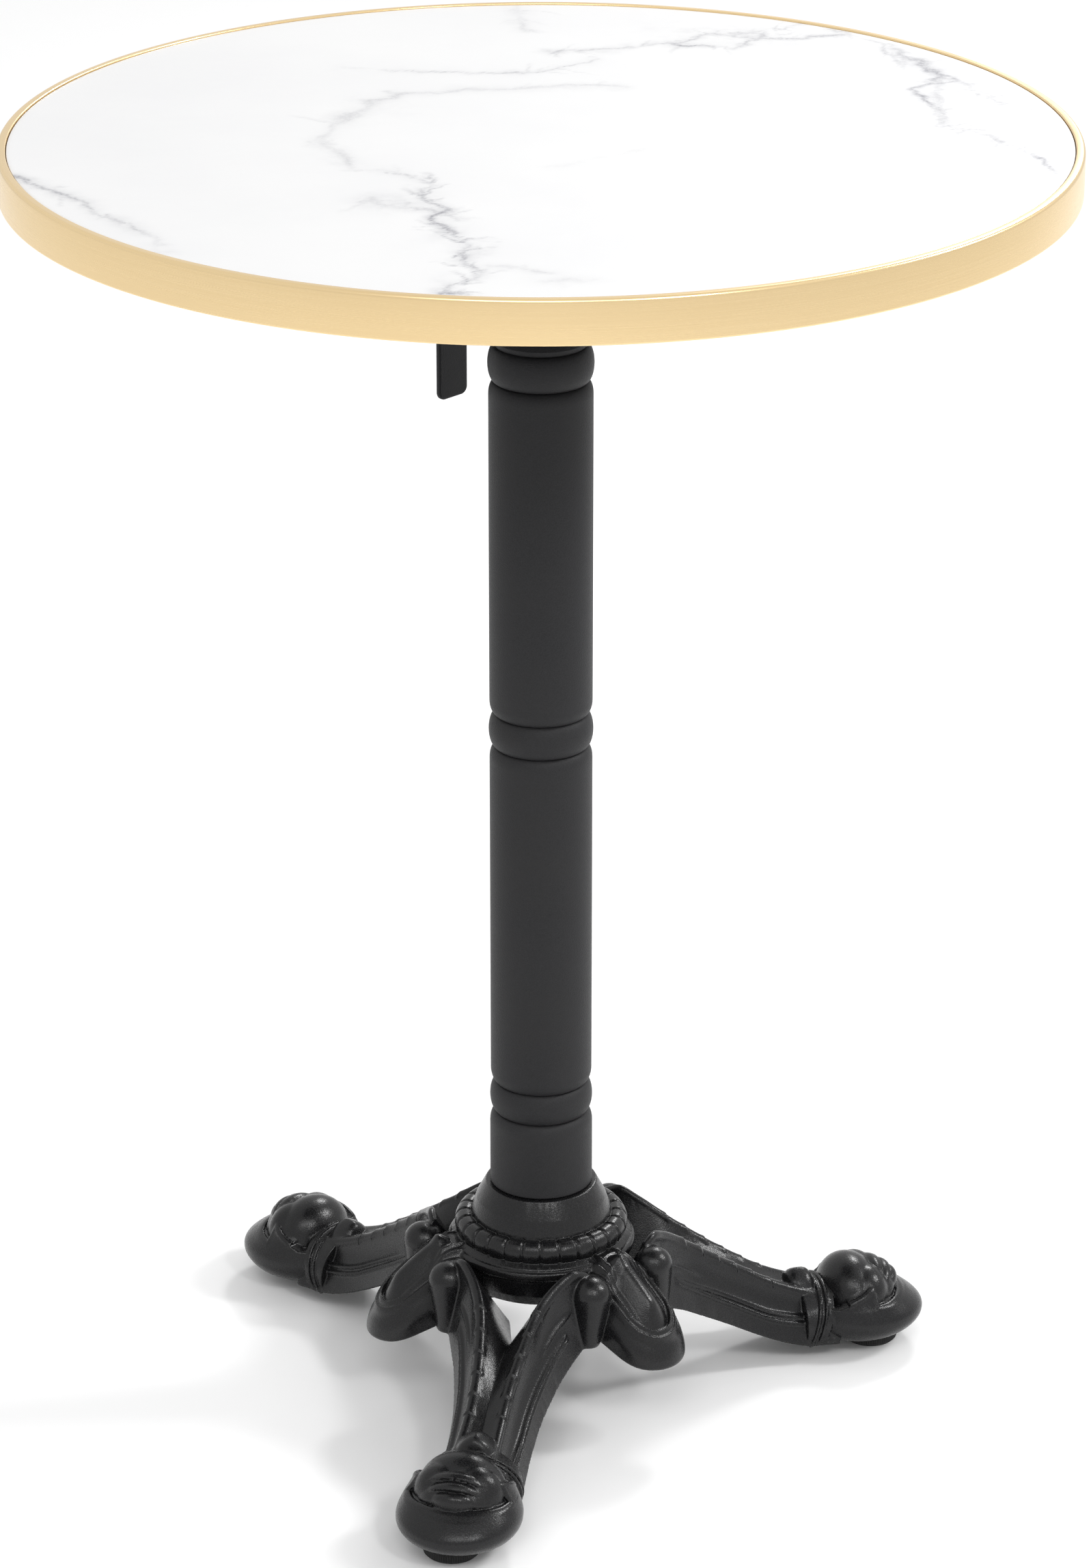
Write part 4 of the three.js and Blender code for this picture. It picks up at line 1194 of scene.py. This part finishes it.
def pan_head_field(points):
    """A screw's domed head hanging under Z = 0, with a cross recess in its face."""
    x, y, z = points.T
    r = np.hypot(x, y)
    dome = common(np.sqrt(r * r + (z - 3.6) ** 2) - 6.2, between(z, -SCREW["head_height"], 0), 0.5)
    dome = common(dome, r - SCREW["head"], 0.8)
    arm = 0.62 + 0.12 * np.maximum(-z - 0.6, 0)
    one_slot = np.maximum(np.abs(x) - arm, np.abs(y) - 2.5)
    other_slot = np.maximum(np.abs(y) - arm, np.abs(x) - 2.5)
    cross = np.minimum(one_slot, other_slot)
    return common(dome, -np.maximum(cross, z + 0.8), 0.2)


def button_head_field(points):
    """A bolt's button head standing on Z = 0, with a hexagon socket."""
    x, y, z = points.T
    r = np.hypot(x, y)
    dome = common(np.sqrt(r * r + (z + 6.4) ** 2) - 11.4, between(z, 0, BOLT["head_height"]), 0.3)
    dome = common(dome, r - BOLT["head"], 0.6)
    return common(dome, -np.maximum(hexagon(x, y, 3.4), 2.2 - z), 0.25)


def board_and_plate():
    screw_tip = node_box("plate_screw_1")[1][2]
    drilled_disc("board_core", "top_core", "board", screw_tip + GAP)
    drilled_disc("backing_disc", "backing_sheet", "backing", screw_tip)
    half = PLATE["side"] / 2
    low = PIVOT["z"] - PIVOT["barrel"]
    corners = (-half, -half, low), (half, half, PLATE["top"])
    plate = field_piece("hinge_plate", plate_field, *corners, 0.9 * FINE, 50_000)
    place(in_mechanism(plate), "table_top", "powder_coat", "mounting_plate")
    for number, (x, y) in enumerate(SCREW_PLACES, 1):
        seat = PLATE["bottom"] - GAP
        head = field_piece("screw_head", at_place(pan_head_field, (x, y, seat)), (x - 5, y - 5, seat - 3),
                           (x + 5, y + 5, seat), 0.3 * FINE, 9_000)
        tip = node_box(f"plate_screw_{number}")[1][2]
        shank = threaded_rod("screw_shank", SCREW["radius"], seat - 1, tip, [(seat + 1, tip - 1)],
                             SCREW["pitch"], (x, y, 0), 20)
        piece = in_mechanism(merged(f"screw_{number}", head, shank))
        place(piece, "table_top", "zinc", f"plate_screw_{number}")


def pivot():
    """Pivot bolt, its nut and the two nylon washers."""
    x, z, bore = PIVOT["x"], PIVOT["z"], PIVOT["pin"] + BORE
    centre = (x, 0, z)
    seat, wide = EAR["outer"] + GAP, BOLT["head"]
    head = field_piece("bolt_head", at_place(button_head_field, (x, seat, z), lying=True),
                       (x - wide, seat, z - wide), (x + wide, seat + BOLT["head_height"], z + wide),
                       0.4 * FINE, 16_000)
    end = seat + BOLT["past_seat"]
    thread = [(-end, -EAR["inner"])]
    shank = threaded_rod("bolt_shank", PIVOT["pin"], -end, seat + 1, thread, BOLT["pitch"])
    bolt = merged("pivot_bolt", head, lying_down(shank, centre))
    place(in_mechanism(bolt), "table_top", "zinc", "hinge_pin")
    wide, end = BOLT["nut"], -seat - BOLT["nut_height"]
    nut = field_piece("pivot_nut", at_place(nut_field(wide, bore, end, -seat), centre, lying=True),
                      (x - wide, end, z - wide), (x + wide, -seat, z + wide), 0.4 * FINE, 16_000)
    place(in_mechanism(nut), "table_top", "zinc", "hinge_nut")
    inner, outer = PIVOT["half_width"] + GAP, EAR["inner"] - GAP
    for name, low, high in (("a", inner, outer), ("b", -outer, -inner)):
        profile = washer_profile(bore, BOLT["washer"], low, high)
        washer = turned_piece(f"nylon_washer_{name}", profile, 96, centre, lying=True)
        place(in_mechanism(washer), "table_top", "nylon", f"hinge_washer_{name}")


def washer_profile(inner, outer, low, high):
    """A closed ring's outline, starting in the middle of its bore so that every corner is eased."""
    middle = (low + high) / 2
    return [(inner, middle), (inner, low), (outer, low), (outer, high), (inner, high), (inner, middle)]


def latch():
    """Pull lever, its pin and the torsion spring beside it."""
    half = LATCH["width"] / 2
    lever = field_piece("pull_lever", lever_field, (LATCH["x"] - LATCH["barrel"], -half, LATCH["bottom"]),
                        (HEAD["lip_end"] + 4, half, LATCH["z"] + LATCH["barrel"]), 0.6 * FINE, 50_000)
    place(in_mechanism(lever), "latch", "powder_coat", "latch_lever")
    end, head = LATCH_EAR["outer"] + 2, LATCH_EAR["outer"] + GAP
    pin = LATCH["pin"]
    profile = [(0, -end), (pin - 0.5, -end), (pin, 0.5 - end), (pin, head), (pin + 2, head),
               (pin + 1.9, head + 1.1), (pin, head + 2), (0, head + 2)]
    rivet = turned_piece("latch_rivet", profile, 64, (LATCH["x"], 0, LATCH["z"]), lying=True)
    place(in_mechanism(rivet), "table_top", "zinc", "latch_pin")
    wire, turns, mean = SPRING["wire"], SPRING["turns"], SPRING["mean_radius"]
    start = SPRING["start"] + wire
    length = SPRING["end"] - SPRING["start"] - 2 * wire
    whole = 2 * math.pi * turns
    coil = [(LATCH["x"] - mean * math.cos(t), start + length * t / whole, LATCH["z"] + mean * math.sin(t))
            for t in np.linspace(0, whole, 40 * turns)]
    leg = [(LATCH["x"] - mean, start, z) for z in np.linspace(LATCH["z"] - 26, LATCH["z"] - 0.5, 12)]
    spring = tube("torsion_spring", leg + coil, wire)
    place(in_mechanism(spring), "table_top", "zinc", "latch_spring")


def head_and_tie_rod():
    """The head casting with its rubber rests, and the rod that clamps head, column and base together."""
    head = field_piece("head_casting", head_field, (HEAD["lip_end"], -HEAD["flange"], HEAD["spigot_low"]),
                       (PIVOT["x"] + PIVOT["barrel"], HEAD["flange"], HEAD["saddle"]), 0.8 * FINE, 50_000)
    place(in_mechanism(head), "stand", "powder_coat", "column_head")
    low, high = node_box("rest_bumper_a")
    x = (HEAD["saddle_outer"] + HEAD["saddle_inner"]) / 2
    for name, side in (("a", REST_SIDE), ("b", -REST_SIDE)):
        profile = [(0, low[2]), (6.2, low[2]), (6.5, low[2] + 1.2), (5.9, high[2]), (2.4, high[2]),
                   (2.0, high[2] - 0.6), (0, high[2] - 0.6)]
        rest = turned_piece(f"rubber_rest_{name}", profile, 96, (x, side, 0), corner=0.5)
        place(in_mechanism(rest), "stand", "rubber", f"rest_bumper_{name}")
    low, high = node_box("tie_rod")
    threads = [(low[2], low[2] + ROD["bottom_thread"]), (high[2] - ROD["top_thread"], high[2])]
    rod = threaded_rod("threaded_rod", high[1], low[2], high[2], threads, ROD["pitch"])
    place(rod, "stand", "zinc", "tie_rod")
    wide, bore = ROD["nut"], ROD["bore"] + BORE
    for end in ("top", "bottom"):
        low, high = node_box(f"tie_nut_{end}")
        nut = field_piece(f"rod_nut_{end}", nut_field(wide, bore, low[2], high[2]), (-wide, -wide, low[2]),
                          (wide, wide, high[2]), 0.45 * FINE, 16_000)
        place(nut, "stand", "zinc", f"tie_nut_{end}")
        low, high = node_box(f"tie_washer_{end}")
        ring = turned_piece(f"rod_washer_{end}", washer_profile(bore, high[1], low[2], high[2]), 96)
        place(ring, "stand", "zinc", f"tie_washer_{end}")


# ---------------------------------------------------------------- levelling glides
GLIDE_RIBS = 72
STUD = {"radius": 4, "pitch": 1.25, "collar": 7.5, "collar_height": 2.5}


def glide(side):
    """A ribbed rubber pad and its threaded stud under one foot."""
    low, high = node_box(f"glide_pad_{side}")
    radius, height = (high[0] - low[0]) / 2, high[2]
    centre = ((low[0] + high[0]) / 2, (low[1] + high[1]) / 2, 0)

    def ribs(turn, r, z):
        return 0.35 * math.cos(turn * GLIDE_RIBS) - 0.35 if r > radius - 1.6 and 1 < z < height - 0.6 else 0
    profile = [(0, 0.4), (6, 0.4), (6.5, 0), (radius - 1.6, 0), (radius, 1.6), (radius, 2.5),
               (radius, height - 1.2), (radius - 1.2, height), (0, height)]
    pad = turned_piece(f"ribbed_pad_{side}", profile, GLIDE_RIBS * 6, centre, corner=0.4, warp=ribs)
    place(pad, f"glide_{side}", "rubber", f"glide_pad_{side}")
    low, high = node_box(f"glide_stud_{side}")
    wide, top = STUD["collar"], low[2] + STUD["collar_height"]
    collar = turned_piece("stud_collar", [(0, low[2]), (wide, low[2]), (wide, top), (0, top)], 72, centre)
    thread = [(low[2] + 3.5, high[2])]
    stud = threaded_rod("stud_rod", STUD["radius"], low[2] + 2, high[2], thread, STUD["pitch"], centre)
    place(merged(f"threaded_stud_{side}", collar, stud), f"glide_{side}", "zinc", f"glide_stud_{side}")


board_and_plate()
pivot()
latch()
head_and_tie_rod()
for side_name in LEG_ANGLES:
    glide(side_name)


# ---------------------------------------------------------------- stage: floor, light and camera
def floor():
    """A plain pale floor that reaches past the camera's view."""
    half = 50_000
    corners = [(-half, -half, 0), (half, -half, 0), (half, half, 0), (-half, half, 0)]
    piece = shape("floor", corners, [(0, 1, 2, 3)])
    made, tree, shader = new_material("pale_floor", (0.93, 0.93, 0.93), 0.75, Specular_IOR_Level=0.1)
    tree.links.new(remap(tree, noise(tree, 3, 2), 0.3, 0.7, 0.7, 0.8), shader.inputs["Roughness"])
    piece.data.materials.append(made)
    piece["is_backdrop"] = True


def softbox(name, place_m, target_m, size, watts, spread=math.pi):
    """A rectangular soft light aimed at a point."""
    lamp = bpy.data.lights.new(name, "AREA")
    lamp.shape, lamp.size, lamp.size_y, lamp.energy, lamp.spread = "RECTANGLE", *size, watts, spread
    piece = added(name, lamp)
    piece.location = place_m
    piece.rotation_euler = (Vector(target_m) - Vector(place_m)).to_track_quat("-Z", "Y").to_euler()


def studio_light():
    world = bpy.data.worlds.new("studio")
    bpy.context.scene.world = world
    world.use_nodes = True
    world.node_tree.nodes["Background"].inputs["Color"].default_value = (1, 1, 1, 1)
    world.node_tree.nodes["Background"].inputs["Strength"].default_value = 0.81
    gridded = math.radians(80)  # keeps the two lamps on the right off the floor that the brass mirrors
    softbox("right", (2.1, 0.8, 2.0), (0, 0, 0.3), (0.4, 0.6), 5.6, gridded)
    softbox("back", (0.3, 2.4, 2.1), (0, 0, 0.2), (0.5, 0.35), 25)
    softbox("front_right", (1.5, -1.7, 2.1), (0, 0, 0.3), (0.35, 0.4), 2.6, gridded)
    softbox("backdrop", (0, 4.2, 3.5), (0, 3.6, 0), (4, 2), 9, math.radians(90))
    softbox("front_fill", (0.3, -2.2, 2.4), (0.1, -1.1, 0), (1.2, 0.8), 14)


CAMERA = {"azimuth": 0.23, "distance": 2.877, "height": 1.5616, "side": 0.0025, "pitch": 0.3905,
          "lens": 127.62}


def camera():
    data = bpy.data.cameras.new("camera")
    data.lens, data.sensor_width = CAMERA["lens"], 36
    data.clip_start, data.clip_end = 0.05, 120
    piece = added("camera", data)
    a, distance, side = CAMERA["azimuth"], CAMERA["distance"], CAMERA["side"]
    x = distance * math.sin(a) + side * math.cos(a)
    y = side * math.sin(a) - distance * math.cos(a)
    piece.location = (x, y, CAMERA["height"])
    piece.rotation_euler = (math.pi / 2 - CAMERA["pitch"], 0, a)
    bpy.context.scene.camera = piece
    bpy.context.scene.view_settings.view_transform = "Standard"


floor()
studio_light()
camera()

{"cad": [list(corner) for corner in CAD_BOX], "visual": [list(corner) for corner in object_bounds()]}
